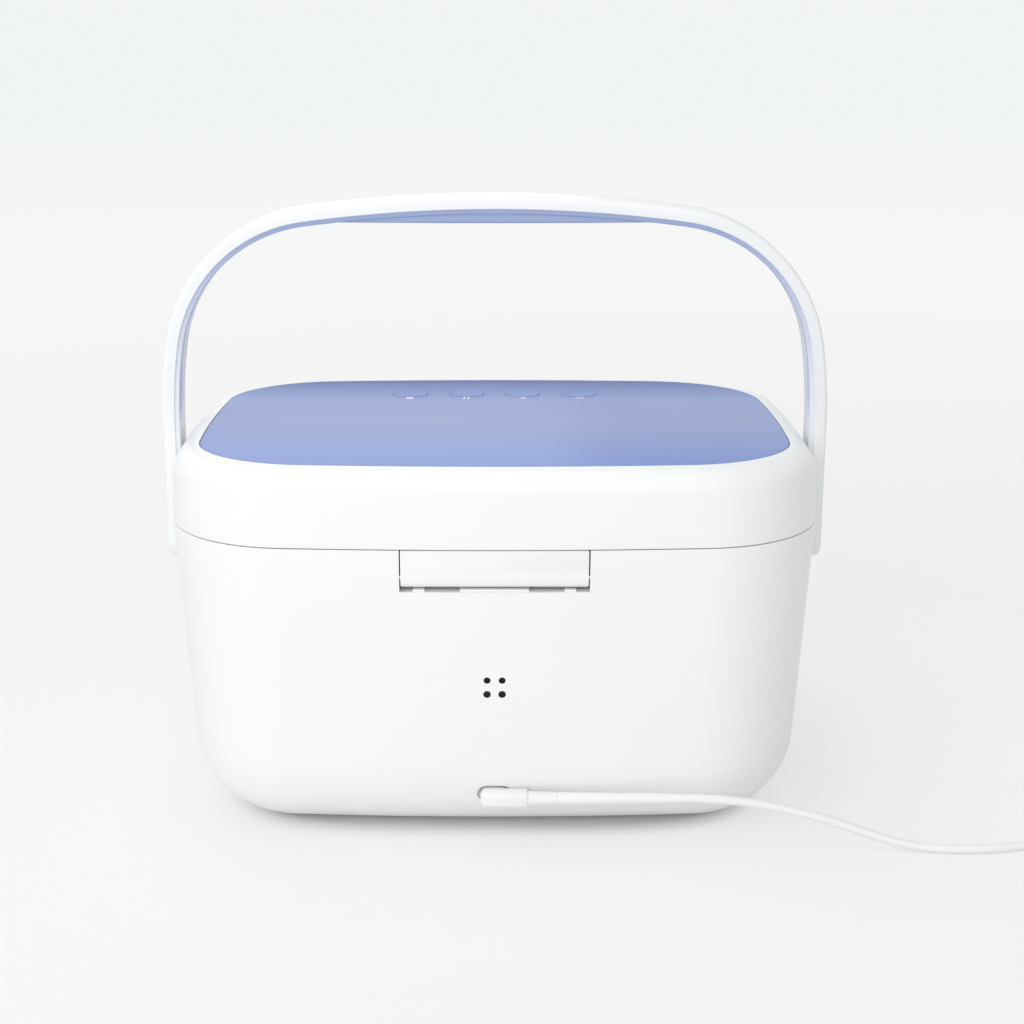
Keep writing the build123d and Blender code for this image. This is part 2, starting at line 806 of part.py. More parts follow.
def button_cap(x):
    # thumb disc with a shallow dish, a flange under the panel and a stem
    low = -panel_thickness - fit_gap
    disc = rod(button_radius, button_proud - low, (x, button_row, low), (0, 0, 1))
    disc = fillet(disc.edges().group_by(Axis.Z)[-1], 0.5)
    dish_radius = 90.0
    dish = Pos(x, button_row, button_proud + dish_radius - 0.35) * Sphere(dish_radius)
    disc -= dish
    flange_low = low - button_flange_thickness
    flange = rod(button_radius + button_flange, button_flange_thickness, (x, button_row, flange_low), (0, 0, 1))
    stem = rod(stem_radius, stem_length, (x, button_row, stem_bottom()), (0, 0, 1))
    return panel_place * (disc + flange + stem)


def button_board():
    top = button_board_top()
    x = button_columns[-1] + 20
    board = block((-x, button_row - 13, top - board_thickness), (x, button_row + 13, top))
    for px, py in board_post_places():
        board -= rod(lamp_screw_radius + 0.1, 10, (px, button_row + py, top - 5), (0, 0, 1))
    return panel_place * board


def button_switches():
    top = button_board_top()
    half = switch_size / 2
    switches = []
    for x in button_columns:
        body = block((x - half, button_row - half, top), (x + half, button_row + half, top + switch_height))
        body += rod(plunger_radius, 0.8, (x, button_row, top + switch_height), (0, 0, 1))
        switches.append(panel_place * body)
    return switches


def button_board_screws():
    seat = button_board_top() - board_thickness
    screws = []
    for x, y in board_post_places():
        screws.append(panel_place * screw(lamp_screw_radius, 6, 2.2, 1.4, (x, button_row + y, seat)))
    return screws


def lid_inner_cover():
    cover = prism(lid_wall + fit_gap, cover_height, cover_height + cover_thickness)
    tab_y = tongue_tab_y() - tongue_tab - fit_gap
    cover -= block((-notch_half_width - 1, tab_y, 0), (notch_half_width + 1, case_half_depth, 200))
    cover -= block((-window_length / 2, -window_width / 2, 0), (window_length / 2, window_width / 2, 200))
    for x, y in four_corners(lid_post_x, lid_post_y):
        cover -= rod(lamp_screw_radius + 0.1, 10, (x, y, cover_height - 5), (0, 0, 1))
    for x, y in four_corners(pillar_x, pillar_y):
        high = cover_height + cover_thickness
        pillar = rod(pillar_radius, lamp_board_rise, (x, y, high), (0, 0, 1))
        cover += pillar - rod(lamp_screw_radius, 5, (x, y, high + lamp_board_rise - 5), (0, 0, 1))
    return cover


def lid_gasket():
    inward = wall + tub_gap - gasket_offset
    low = flange_top + gasket_lift
    return prism(inward, low, cover_height) - prism(inward + gasket_width, low - 1, cover_height + 1)


def lid_cover_screws():
    places = four_corners(lid_post_x, lid_post_y)
    return [screw(lamp_screw_radius, 7, 2.4, 1.2, (x, y, cover_height)) for x, y in places]


def outer_crown_radius():
    first = math.radians(leg_arc_turn)
    second = math.radians(shoulder_turn)
    across = leg_arc_radius * (1 - math.cos(first)) + shoulder_radius * (math.cos(first) - math.cos(second))
    return (handle_half_width - across) / math.cos(second)


def arch_line(inward):
    # half of the handle's outline, moved inwards, from the leg to the crown, as three-point arcs
    first = math.radians(leg_arc_turn)
    second = math.radians(shoulder_turn)
    crown_radius = outer_crown_radius()
    rise = leg_arc_radius * math.sin(first) + shoulder_radius * (math.sin(second) - math.sin(first))
    rise += crown_radius * (1 - math.sin(second))
    x = handle_half_width - leg_arc_radius
    z = handle_top - rise
    stretches = [(leg_arc_radius, 0, first), (shoulder_radius, first, second),
                 (crown_radius, second, math.pi / 2)]
    arcs = []
    for index, (radius, low, high) in enumerate(stretches):
        reach = radius - inward
        turns = (low, (low + high) / 2, high)
        arcs.append([(x + reach * math.cos(turn), z + reach * math.sin(turn)) for turn in turns])
        if index < 2:
            step = radius - stretches[index + 1][0]
            x += step * math.cos(high)
            z += step * math.sin(high)
    return arcs


def arch_band(outside, inside, half_depth):
    # solid band of the arch between two offsets from its outer face, with rounded lower ends
    low_z = pivot_height - 2 * half_depth
    edges = []
    for inward in (outside, inside):
        arcs = arch_line(inward)
        foot_x, foot_z = arcs[0][0]
        for side in (1, -1):
            edges.append(Edge.make_line(Vector(side * foot_x, 0, low_z), Vector(side * foot_x, 0, foot_z)))
            for arc in arcs:
                edges.append(Edge.make_three_point_arc(*[Vector(side * x, 0, z) for x, z in arc]))
    outer_x = handle_half_width - outside
    inner_x = handle_half_width - inside
    for side in (1, -1):
        edges.append(Edge.make_line(Vector(side * outer_x, 0, low_z), Vector(side * inner_x, 0, low_z)))
    band = extrude(Face(Wire(edges)), half_depth, (0, 1, 0), both=True)
    reach = handle_half_width + 5
    keep = rod(half_depth, 2 * reach, (-reach, 0, pivot_height), (1, 0, 0))
    keep += block((-reach, -half_depth, pivot_height), (reach, half_depth, handle_top + 20))
    return Pos(0, pivot_y, 0) * (band & keep)


def on_outer_face(edge):
    # arcs on the outline's own radii, and the edges of the legs' flat outer faces
    if edge.geom_type == GeomType.LINE and abs((edge % 0).Y) > 0.9:
        return False
    radii = (leg_arc_radius, shoulder_radius, outer_crown_radius())
    on_arc = edge.geom_type == GeomType.CIRCLE and min(abs(edge.radius - radius) for radius in radii) < 0.01
    on_leg = all(abs(abs((edge @ place).X) - handle_half_width) < 0.01 for place in (0, 0.5, 1))
    return on_arc or on_leg


def handle_shell():
    half = handle_depth / 2
    band = arch_band(0, handle_shell_thickness, half)
    band = fillet(band.edges().filter_by(on_outer_face), handle_edge)
    return band - arch_band(handle_skin, handle_shell_thickness + 2, half - handle_side_wall)


def handle_liner():
    inside = handle_shell_thickness + liner_thickness
    plate = arch_band(handle_shell_thickness, inside, handle_depth / 2 - liner_inset)
    rib_half = handle_depth / 2 - handle_side_wall - fit_gap
    rib = arch_band(handle_shell_thickness - liner_rib, handle_shell_thickness, rib_half)
    for side in (1, -1):
        rib -= pivot_rod(side, rib_half + 0.6, leg_inner_x - 2, handle_half_width)
    liner = plate + rib
    for side in (1, -1):
        liner -= pivot_rod(side, axle_radius, leg_inner_x - 5, handle_half_width)
    return liner


def handle_grip():
    # lens-shaped pad under the crown
    inside = handle_shell_thickness + liner_thickness
    seat = arch_band(inside, inside + 2 * grip_bulge, grip_depth / 2)
    crown = outer_crown_radius() - inside
    end_z = handle_top - inside - crown + math.sqrt(crown ** 2 - grip_half_length ** 2)
    low = handle_top - inside - grip_bulge
    left = Vector(-grip_half_length, pivot_y, end_z)
    right = Vector(grip_half_length, pivot_y, end_z)
    rise = Vector(0, 0, handle_top - end_z)
    under = Edge.make_three_point_arc(left, Vector(0, pivot_y, low), right)
    sides = Polyline(left, left + rise, right + rise, right)
    lens = extrude(Face(Wire([under] + sides.edges())), grip_depth / 2, (0, 1, 0), both=True)
    return seat & lens


def clip_x():
    return pivot_boss_start - pivot_side_gap - clip_thickness


def handle_axles():
    axles = []
    head_x = handle_half_width - handle_shell_thickness
    groove_end = clip_x() + clip_thickness
    for side in (1, -1):
        axle = pivot_rod(side, axle_radius, axle_end_x, head_x)
        axle += pivot_rod(side, axle_head_radius, head_x, head_x + axle_head_thickness)
        groove = pivot_rod(side, axle_radius + 1, clip_x(), groove_end)
        groove -= pivot_rod(side, axle_radius - clip_groove, clip_x(), groove_end)
        axles.append(axle - groove)
    return axles


def axle_clips():
    clips = []
    end = clip_x() + clip_thickness
    for side in (1, -1):
        clip = pivot_rod(side, clip_radius, clip_x(), end)
        clip -= pivot_rod(side, axle_radius - clip_groove, clip_x(), end)
        low = (-case_half_width, pivot_y - clip_slot, pivot_height - 2 * clip_radius)
        clips.append(clip - block(low, (case_half_width, pivot_y + clip_slot, pivot_height)))
    return clips


def axle_bushes():
    bushes = []
    flange_end = pivot_face_x() + bush_flange_thickness
    for side in (1, -1):
        bush = pivot_rod(side, axle_radius + axle_running_gap + bush_wall, pivot_boss_start, pivot_face_x())
        bush += pivot_rod(side, bush_flange_radius, pivot_face_x(), flange_end)
        bore = pivot_rod(side, axle_radius + axle_running_gap, pivot_boss_start - 5, flange_end + 5)
        bushes.append(bush - bore)
    return bushes


def plug_tip():
    mouth = Plane(origin=(0, port_floor_y - 6.2, port_height), x_dir=(1, 0, 0), z_dir=(0, 1, 0))
    tip = extrude(mouth * SlotOverall(8.2, 2.4), 6.4)
    return tip - extrude(mouth * SlotOverall(7.0, 1.2), 5.4)


def plug_body():
    # right-angle plug: a nose in the pocket and a soft-cornered body along the wall
    nose = Plane(origin=(0, port_floor_y + 0.2, port_height), x_dir=(1, 0, 0), z_dir=(0, 1, 0))
    shape = extrude(nose * SlotOverall(12.4, plug_height - 0.6), plug_y - port_floor_y)
    half = plug_height / 2
    body = block((plug_left, plug_y - plug_reach / 2, port_height - half),
                 (plug_right, plug_y + plug_reach / 2, port_height + half))
    body = fillet(body.edges().filter_by(Axis.X), 2.4)
    body = fillet(body.faces().sort_by(Axis.X)[-1].edges(), 2.0)
    return shape + body


def plug_sleeve():
    # ribbed strain relief that tapers down to the cord
    start = plug_left
    ribs_end = start - 14.0
    first = 3.2
    second = 2.75
    last = cord_diameter / 2 + 0.25
    with BuildPart() as sleeve:
        with BuildSketch(Plane.XY):
            with BuildLine():
                Polyline((start, 0), (start, first), (ribs_end, second), (sleeve_end, last), (sleeve_end, 0),
                         close=True)
            make_face()
        revolve(axis=Axis.X)
    shape = sleeve.part
    for index in range(6):
        x = start - 1.6 - index * 2.1
        radius = first - (first - second) * (start - x) / 14.0
        ring = rod(radius + 1, 0.9, (x, 0, 0), (-1, 0, 0)) - rod(radius - 0.7, 0.9, (x, 0, 0), (-1, 0, 0))
        shape -= ring
    return Pos(0, plug_y, port_height) * shape


def cord_radii():
    # each bend as round as its two runs allow
    radii = []
    for before, here, after in zip(cord_route, cord_route[1:], cord_route[2:]):
        first = Vector(*here) - Vector(*before)
        second = Vector(*after) - Vector(*here)
        turn = math.radians(first.get_angle(second))
        radii.append(0.45 * min(first.length, second.length) / math.tan(turn / 2))
    return radii


def cord_path():
    points = [Vector(*p) for p in cord_route]
    return FilletPolyline(*points, radius=cord_radii())


def cord_lead():
    path = cord_path()
    section = Plane(origin=path @ 0, z_dir=path % 0) * Circle(cord_diameter / 2)
    return sweep(section, path=path.wire())


def coil_height():
    return coil_layers * cord_diameter


def cord_coil():
    half = coil_columns * cord_diameter / 2
    ring = rod(coil_middle_radius + half, coil_height(), (coil_x, coil_y, 0), (0, 0, 1))
    ring -= rod(coil_middle_radius - half, coil_height(), (coil_x, coil_y, 0), (0, 0, 1))
    return fillet(ring.edges(), cord_diameter / 2)


def cord_tie():
    # strap round one side of the coil
    half = coil_columns * cord_diameter / 2
    x = coil_x - coil_middle_radius
    outer = block((x - half - 1.2, coil_y - 4, 0), (x + half + 1.2, coil_y + 4, coil_height() + 1))
    outer = fillet(outer.edges().filter_by(Axis.Y).group_by(Axis.Z)[-1], 2.4)
    return outer - cord_coil()


def usb_plug_body():
    # lies beside the coil, its cord end towards it
    half = usb_plug_width / 2
    body = block((usb_plug_x - half, usb_plug_y - usb_plug_length, 0), (usb_plug_x + half, usb_plug_y, usb_plug_height))
    return fillet(body.edges().filter_by(Axis.Y), 2.0)


def usb_plug_tip():
    half = usb_tip_width / 2
    low = (usb_plug_height - usb_tip_height) / 2
    back = usb_plug_y - usb_plug_length
    tip = block((usb_plug_x - half, back - usb_tip_length, low), (usb_plug_x + half, back, low + usb_tip_height))
    inside = half - 0.3
    return tip - block((usb_plug_x - inside, back - usb_tip_length - 1, low + 0.3),
                       (usb_plug_x + inside, back - 1, low + 2.4))


def write(name, shape):
    solids = []
    for item in shape if isinstance(shape, list) else [shape]:
        solids.extend(item.solids())
    result = solids[0] if len(solids) == 1 else Compound(solids)
    export_step(result, "parts/" + name + ".step")


def main():
    os.makedirs("parts", exist_ok=True)
    tub_low = tub_floor - tub_wall
    cover_high = cover_height + cover_thickness
    pieces = {
        "base_shell": base_shell,
        "bottom_cover": bottom_cover,
        "rubber_feet": rubber_feet,
        "bottom_screws": bottom_screws,
        "inner_tub": inner_tub,
        "tub_screws": tub_screws,
        "tub_lamp_window": lambda: lamp_window(tub_low, False),
        "tub_lamp_board": lambda: lamp_board(tub_low, False),
        "tub_lamps": lambda: lamps(tub_low, False),
        "tub_lamp_screws": lambda: lamp_screws(tub_low, False),
        "main_board": main_board,
        "main_board_parts": main_board_parts,
        "main_board_screws": main_board_screws,
        "power_socket": power_socket,
        "buzzer": buzzer,
        "wire_rack": wire_rack,
        "base_magnets": base_magnets,
        "hinge_pin": hinge_pin,
        "axle_bushes": axle_bushes,
        "hinge_tongue": hinge_tongue,
        "tongue_screws": tongue_screws,
        "lid_shell": lid_shell,
        "top_panel": top_panel,
        "lid_inner_cover": lid_inner_cover,
        "lid_cover_screws": lid_cover_screws,
        "lid_gasket": lid_gasket,
        "lid_magnets": lid_magnets,
        "lid_lamp_window": lambda: lamp_window(cover_high, True),
        "lid_lamp_board": lambda: lamp_board(cover_high, True),
        "lid_lamps": lambda: lamps(cover_high, True),
        "lid_lamp_screws": lambda: lamp_screws(cover_high, True),
        "button_board": button_board,
        "button_switches": button_switches,
        "button_board_screws": button_board_screws,
        "handle_shell": handle_shell,
        "handle_liner": handle_liner,
        "handle_grip": handle_grip,
        "handle_axles": handle_axles,
        "axle_clips": axle_clips,
        "plug_tip": plug_tip,
        "plug_body": plug_body,
        "plug_sleeve": plug_sleeve,
        "cord_lead": cord_lead,
        "cord_coil": cord_coil,
        "cord_tie": cord_tie,
        "usb_plug_body": usb_plug_body,
        "usb_plug_tip": usb_plug_tip,
    }
    for name, make in pieces.items():
        write(name, make())
        print(name)
    for name, x in zip(button_names, button_columns):
        write(name, button_cap(x))
    print("bend radii", [round(radius, 1) for radius in cord_radii()])
    print("lead length", round(cord_path().length, 1))


main()
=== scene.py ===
import json
import math

import bmesh
import bpy
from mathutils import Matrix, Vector


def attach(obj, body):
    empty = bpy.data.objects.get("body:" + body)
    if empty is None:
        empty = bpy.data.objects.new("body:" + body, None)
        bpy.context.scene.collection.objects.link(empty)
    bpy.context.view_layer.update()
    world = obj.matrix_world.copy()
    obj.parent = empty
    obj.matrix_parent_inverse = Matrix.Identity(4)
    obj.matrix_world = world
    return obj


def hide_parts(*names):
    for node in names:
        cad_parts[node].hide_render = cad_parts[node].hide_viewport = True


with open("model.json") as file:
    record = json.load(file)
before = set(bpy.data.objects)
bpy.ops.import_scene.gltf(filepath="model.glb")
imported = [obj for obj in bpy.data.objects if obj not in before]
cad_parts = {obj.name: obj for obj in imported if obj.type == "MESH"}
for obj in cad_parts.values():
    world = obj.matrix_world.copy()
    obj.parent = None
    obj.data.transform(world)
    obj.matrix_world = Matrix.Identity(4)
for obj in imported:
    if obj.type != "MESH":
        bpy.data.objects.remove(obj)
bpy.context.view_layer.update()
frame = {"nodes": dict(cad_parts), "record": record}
nodes = frame["nodes"]
mm = 0.001
print("frame loaded:", len(nodes), "nodes")


# shader sockets with arithmetic

class Link:
    def __init__(self, tree, socket=None):
        self.tree = tree
        self.socket = socket

    def node(self, kind, sockets=None, output=0, stops=None, **settings):
        made = self.tree.nodes.new(kind)
        for name, value in settings.items():
            setattr(made, name, value)
        if stops:
            for place, colour in stops[2:]:
                made.color_ramp.elements.new(place)
            for element, (place, colour) in zip(made.color_ramp.elements, stops):
                element.position = place
                element.color = colour
        for name, value in (sockets or {}).items():
            if isinstance(value, Link):
                self.tree.links.new(value.socket, made.inputs[name])
            else:
                made.inputs[name].default_value = value
        return Link(self.tree, made.outputs[output] if len(made.outputs) else None)

    def maths(self, operation, first, second):
        return self.node("ShaderNodeMath", {0: first, 1: second}, operation=operation)

    def __add__(self, other):
        return self.maths("ADD", self, other)

    def __sub__(self, other):
        return self.maths("SUBTRACT", self, other)

    def __rsub__(self, other):
        return self.maths("SUBTRACT", other, self)

    def __mul__(self, other):
        return self.maths("MULTIPLY", self, other)

    def clamped(self):
        return self.node("ShaderNodeClamp", {"Value": self})


def blended(link, factor, first, second):
    return link.node("ShaderNodeMix", {0: factor, 6: first, 7: second}, output=2, data_type="RGBA")


def rgba(colour, factor=1.0):
    return (*[min(1.0, part * factor) for part in colour[:3]], 1.0)


def newMaterial(name):
    # a material, its tree, and the place on the object
    material = bpy.data.materials.new(name)
    material.use_nodes = True
    material.node_tree.nodes.clear()
    link = Link(material.node_tree)
    return material, link, link.node("ShaderNodeTexCoord", output="Object")


def component(link, place, axis):
    return link.node("ShaderNodeSeparateXYZ", {"Vector": place}, output=axis)


def closeTree(link, kind, shader):
    link.node(kind, {"Surface": shader})


def linked(name, data):
    # a new object in the scene
    made = bpy.data.objects.new(name, data)
    bpy.context.scene.collection.objects.link(made)
    return made


# camera, floor and light

camera = {"place": (0.0, 0.884, 0.372), "pitchDown": 15.7, "focalPixels": 1906.0, "imageSize": 1024,
    "axisPixel": 494.6, "sensor": 36.0, "clip": (0.01, 300.0)}


def addCamera(p):
    data = bpy.data.cameras.new("camera")
    data.sensor_width = p["sensor"]
    data.lens = p["focalPixels"] / p["imageSize"] * data.sensor_width
    data.shift_x = (p["imageSize"] / 2 - p["axisPixel"]) / p["imageSize"]
    data.clip_start, data.clip_end = p["clip"]
    made = linked("camera", data)
    made.location = p["place"]
    made.rotation_euler = (math.radians(90 - p["pitchDown"]), 0.0, math.pi)
    bpy.context.scene.camera = made


addCamera(camera)
bpy.context.scene.view_settings.view_transform = "Standard"

# the cord comes next: its route, then the turns of the stored coil, then the way to its plug

cord = {
    "route": [(-14, 113.4, 25.1), (-40, 113.4, 25.1), (-75, 113.4, 25.1), (-90, 113.4, 25.1), (-106, 112.7, 23.6),
        (-123, 112.4, 20.6), (-140, 112.3, 16.4), (-157, 112.6, 10.9), (-172, 113.2, 5.4), (-185, 114.6, 2.5),
        (-199, 116.4, 2.05), (-214, 116.6, 2.1), (-228, 114.6, 2.05), (-240, 110.6, 2.0), (-250, 104.6, 2.05)],
    "diameter": 4.0, "coilCentre": (-274.0, 117.0), "arrival": -27.0, "firstTurn": 15.0, "turns": 6,
    "lastTurn": -35.0, "step": 20, "turnRadii": [26.0, 22.0, 18.0], "layers": [2.05, 6.05, 10.05],
    # from one radius or layer to another, between two angles in degrees
    "radiusShifts": [(0, 1, 305, 350), (1, 2, 665, 710), (2, 1, 1295, 1340), (1, 0, 1655, 1700)],
    "layerShifts": [(0, 1, 975, 1025), (1, 2, 1955, 2010)],
    "tail": [(-255.2, 98.2, 8.4), (-257.0, 92.5, 4.4), (-257.0, 88.0, 3.5)], "length": 1.09,
}


def eased(value, low, high):
    part = min(1.0, max(0.0, (value - low) / (high - low)))
    return part * part * (3 - 2 * part)


def shifted(levels, shifts, turned):
    value = levels[0]
    for before, after, low, high in shifts:
        value += (levels[after] - levels[before]) * eased(turned, low, high)
    return value


def coilPoint(p, turned):
    # turned counts degrees from where the lead arrives; the steps are staggered so that no turn cuts another
    radius = shifted(p["turnRadii"], p["radiusShifts"], turned)
    height = shifted(p["layers"], p["layerShifts"], turned)
    angle = math.radians(p["arrival"] - turned)
    return (p["coilCentre"][0] + radius * math.cos(angle), p["coilCentre"][1] + radius * math.sin(angle), height)


def addCord(p):
    points = list(p["route"])
    turned = p["firstTurn"]
    stop = 360 * p["turns"] + p["arrival"] - p["lastTurn"]
    while turned <= stop:
        points.append(coilPoint(p, turned))
        turned += p["step"]
    points += p["tail"]
    curve = bpy.data.curves.new("powerCord", "CURVE")
    curve.dimensions = "3D"
    spline = curve.splines.new("NURBS")
    spline.points.add(len(points) - 1)
    for point, place in zip(spline.points, points):
        point.co = (*[value * mm for value in place], 1.0)
    spline.order_u = 3
    spline.use_endpoint_u = True
    spline.resolution_u = 5
    curve.bevel_depth = p["diameter"] / 2 * mm
    curve.bevel_resolution = 5
    curve.use_fill_caps = True
    return linked("powerCord", curve)


powerCord = addCord(cord)
print("camera and cord made")

stage = {"reach": 60.0, "glow": 0.62, "albedo": (0.87, 0.87, 0.875, 1), "background": (0.86, 0.88, 0.89, 1),
    "worldLight": 0.54, "rampScale": 0.25, "glowRise": 0.9, "glowStart": 0.35, "aim": (0, 0, 0.1),
    "underX": 0.115, "underY": 0.09, "underEdge": 0.9, "underFade": 1.6,
    "stops": [(0.0, (0.945, 0.945, 0.945, 1)), (0.4, (0.93, 0.93, 0.935, 1)), (1.0, (0.875, 0.895, 0.905, 1))]}


def seenRay(link):
    # 1 for what the camera sees directly, in gloss or through glass
    rays = [link.node("ShaderNodeLightPath", output=name)
        for name in ("Is Camera Ray", "Is Glossy Ray", "Is Transmission Ray")]
    return (rays[0] + rays[1] + rays[2]).clamped()


def addStage(p):
    material, link, place = newMaterial("studioFloor")
    # painted light falloff: the floor's glow is brighter near the box and darker further away
    far = link.node("ShaderNodeVectorMath", {0: place}, operation="LENGTH", output="Value")
    tint = link.node("ShaderNodeValToRGB", {"Fac": (far * p["rampScale"]).clamped()}, stops=p["stops"])
    share = (far * p["glowRise"] - p["glowStart"]).clamped() * (1 - p["glow"]) + p["glow"]
    # no glow where the box stands, so that its contact line stays dark
    across = component(link, place, "X") * (1 / p["underX"])
    along = component(link, place, "Y") * (1 / p["underY"])
    across = across * across
    along = along * along
    share = share * ((across * across + along * along - p["underEdge"]) * p["underFade"]).clamped()
    glow = link.node("ShaderNodeEmission", {"Color": tint, "Strength": 1.0})
    matt = link.node("ShaderNodeBsdfDiffuse", {"Color": p["albedo"]})
    mixed = link.node("ShaderNodeMixShader", {0: seenRay(link) * share, 1: matt, 2: glow})
    closeTree(link, "ShaderNodeOutputMaterial", mixed)
    reach = p["reach"]
    mesh = bpy.data.meshes.new("studioFloor")
    mesh.from_pydata([(-reach, -reach, 0), (reach, -reach, 0), (reach, reach, 0), (-reach, reach, 0)], [],
        [(0, 1, 2, 3)])
    mesh.materials.append(material)
    linked("studioFloor", mesh)
    world = bpy.data.worlds.new("studio")
    bpy.context.scene.world = world
    world.use_nodes = True
    world.node_tree.nodes.clear()
    link = Link(world.node_tree)
    light = link.node("ShaderNodeBackground", {"Color": (1, 1, 1, 1), "Strength": p["worldLight"]})
    shown = link.node("ShaderNodeBackground", {"Color": p["background"], "Strength": 1.0})
    mixed = link.node("ShaderNodeMixShader", {0: seenRay(link), 1: light, 2: shown})
    closeTree(link, "ShaderNodeOutputWorld", mixed)


lamps = {
    "above": {"place": (0.3, 0.1, 1.4), "power": 5.4, "size": (1.4, 1.0)},
    "behindLeft": {"place": (0.85, 1.15, 0.75), "power": 5.4, "size": (1.1, 0.9)},
    "behind": {"place": (0.1, 1.6, 0.65), "power": 5.3, "size": (0.9, 0.6)},
    "front": {"place": (0.4, -1.3, 0.9), "power": 3.6, "size": (1.2, 0.8)},
}


def addLamp(name, p):
    data = bpy.data.lights.new(name, "AREA")
    data.shape = "RECTANGLE"
    data.size, data.size_y = p["size"]
    data.energy = p["power"]
    made = linked(name, data)
    made.location = p["place"]
    aim = Vector(stage["aim"]) - Vector(p["place"])
    made.rotation_euler = aim.to_track_quat("-Z", "Y").to_euler()


addStage(stage)
for lampName, lampSizes in lamps.items():
    addLamp(lampName, lampSizes)
print("floor and lamps placed")


# materials

def noise(link, place, scale, detail=2.0):
    return link.node("ShaderNodeTexNoise", {"Vector": place, "Scale": scale, "Detail": detail})


def surfaced(material, link, inputs):
    closeTree(link, "ShaderNodeOutputMaterial", link.node("ShaderNodeBsdfPrincipled", inputs))
    return material


def mouldedPlastic(name, colour, rough, coat=0.0, coatRough=0.1, bump=0.08, grainScale=2600.0, change=0.012,
        paintedLightTint=None, paintedLightRange=None):
    # fine spark texture, faint flow clouds, a slight change of gloss; where a painted light tint is given, the colour
    # is painted paler towards the bottom
    material, link, place = newMaterial(name)
    cloud = noise(link, place, 16.0, 3.0)
    grain = noise(link, place, grainScale)
    tint = blended(link, cloud, rgba(colour, 1 - change), rgba(colour, 1 + change))
    # painted light: below the given height range the colour fades to the pale tint
    if paintedLightTint:
        low, high = paintedLightRange
        height = component(link, place, "Z")
        tint = blended(link, ((height - low) * (1 / (high - low))).clamped(), rgba(paintedLightTint), tint)
    relief = link.node("ShaderNodeBump", {"Strength": bump, "Distance": 0.0001, "Height": grain})
    return surfaced(material, link, {
        "Base Color": tint, "Roughness": (cloud - 0.5) * 0.05 + rough, "Normal": relief, "IOR": 1.5,
        "Coat Weight": coat, "Coat Roughness": coatRough})


def metalFinish(name, colour, rough):
    # turned or drawn metal: fine streaks along one axis and small stains
    material, link, place = newMaterial(name)
    drawn = link.node("ShaderNodeMapping", {"Vector": place, "Scale": (1, 1, 12)})
    streak = noise(link, drawn, 700.0, 3.0)
    tint = blended(link, noise(link, place, 60.0), rgba(colour, 0.93), rgba(colour, 1.04))
    bump = link.node("ShaderNodeBump", {"Strength": 0.12, "Distance": 0.00005, "Height": streak})
    return surfaced(material, link, {
        "Base Color": tint, "Roughness": streak * 0.16 + (rough - 0.08), "Normal": bump, "Metallic": 1.0})


def panelGloss(name, shadeFade, shadeFadeStart, rough, shine, stops):
    # sprayed gloss panel with painted shade: the blue is darkened towards its front edge, the side away from the
    # camera
    material, link, place = newMaterial(name)
    # painted shade: a ramp from the back edge to the front edge, darkest at the front
    front = (component(link, place, "Y") * -shadeFade + shadeFadeStart).clamped()
    ramp = link.node("ShaderNodeValToRGB", {"Fac": front}, stops=stops)
    speck = noise(link, place, 900.0)
    tint = blended(link, noise(link, place, 18.0) * 0.03, ramp, (0.5, 0.52, 0.7, 1))
    bump = link.node("ShaderNodeBump", {"Strength": 0.02, "Distance": 0.00003, "Height": speck})
    return surfaced(material, link, {
        "Base Color": tint, "Roughness": speck * 0.03 + rough, "Normal": bump, "IOR": 1.3,
        "Specular IOR Level": shine})


def boardFinish(name, colour, track):
    # solder mask with copper tracks showing through as lighter lines
    material, link, place = newMaterial(name)
    tracks = link.node("ShaderNodeTexBrick", {
        "Vector": place, "Scale": 190.0, "Mortar Size": 0.03, "Color1": rgba(colour),
        "Color2": rgba(colour, 0.85), "Mortar": rgba(track)})
    return surfaced(material, link, {"Base Color": tracks, "Roughness": noise(link, place, 90.0) * 0.2 + 0.3})


def clearFinish(name):
    material, link, place = newMaterial(name)
    return surfaced(material, link, {
        "Base Color": (0.93, 0.96, 0.98, 1), "Roughness": noise(link, place, 40.0) * 0.05 + 0.03, "IOR": 1.46,
        "Transmission Weight": 0.9})


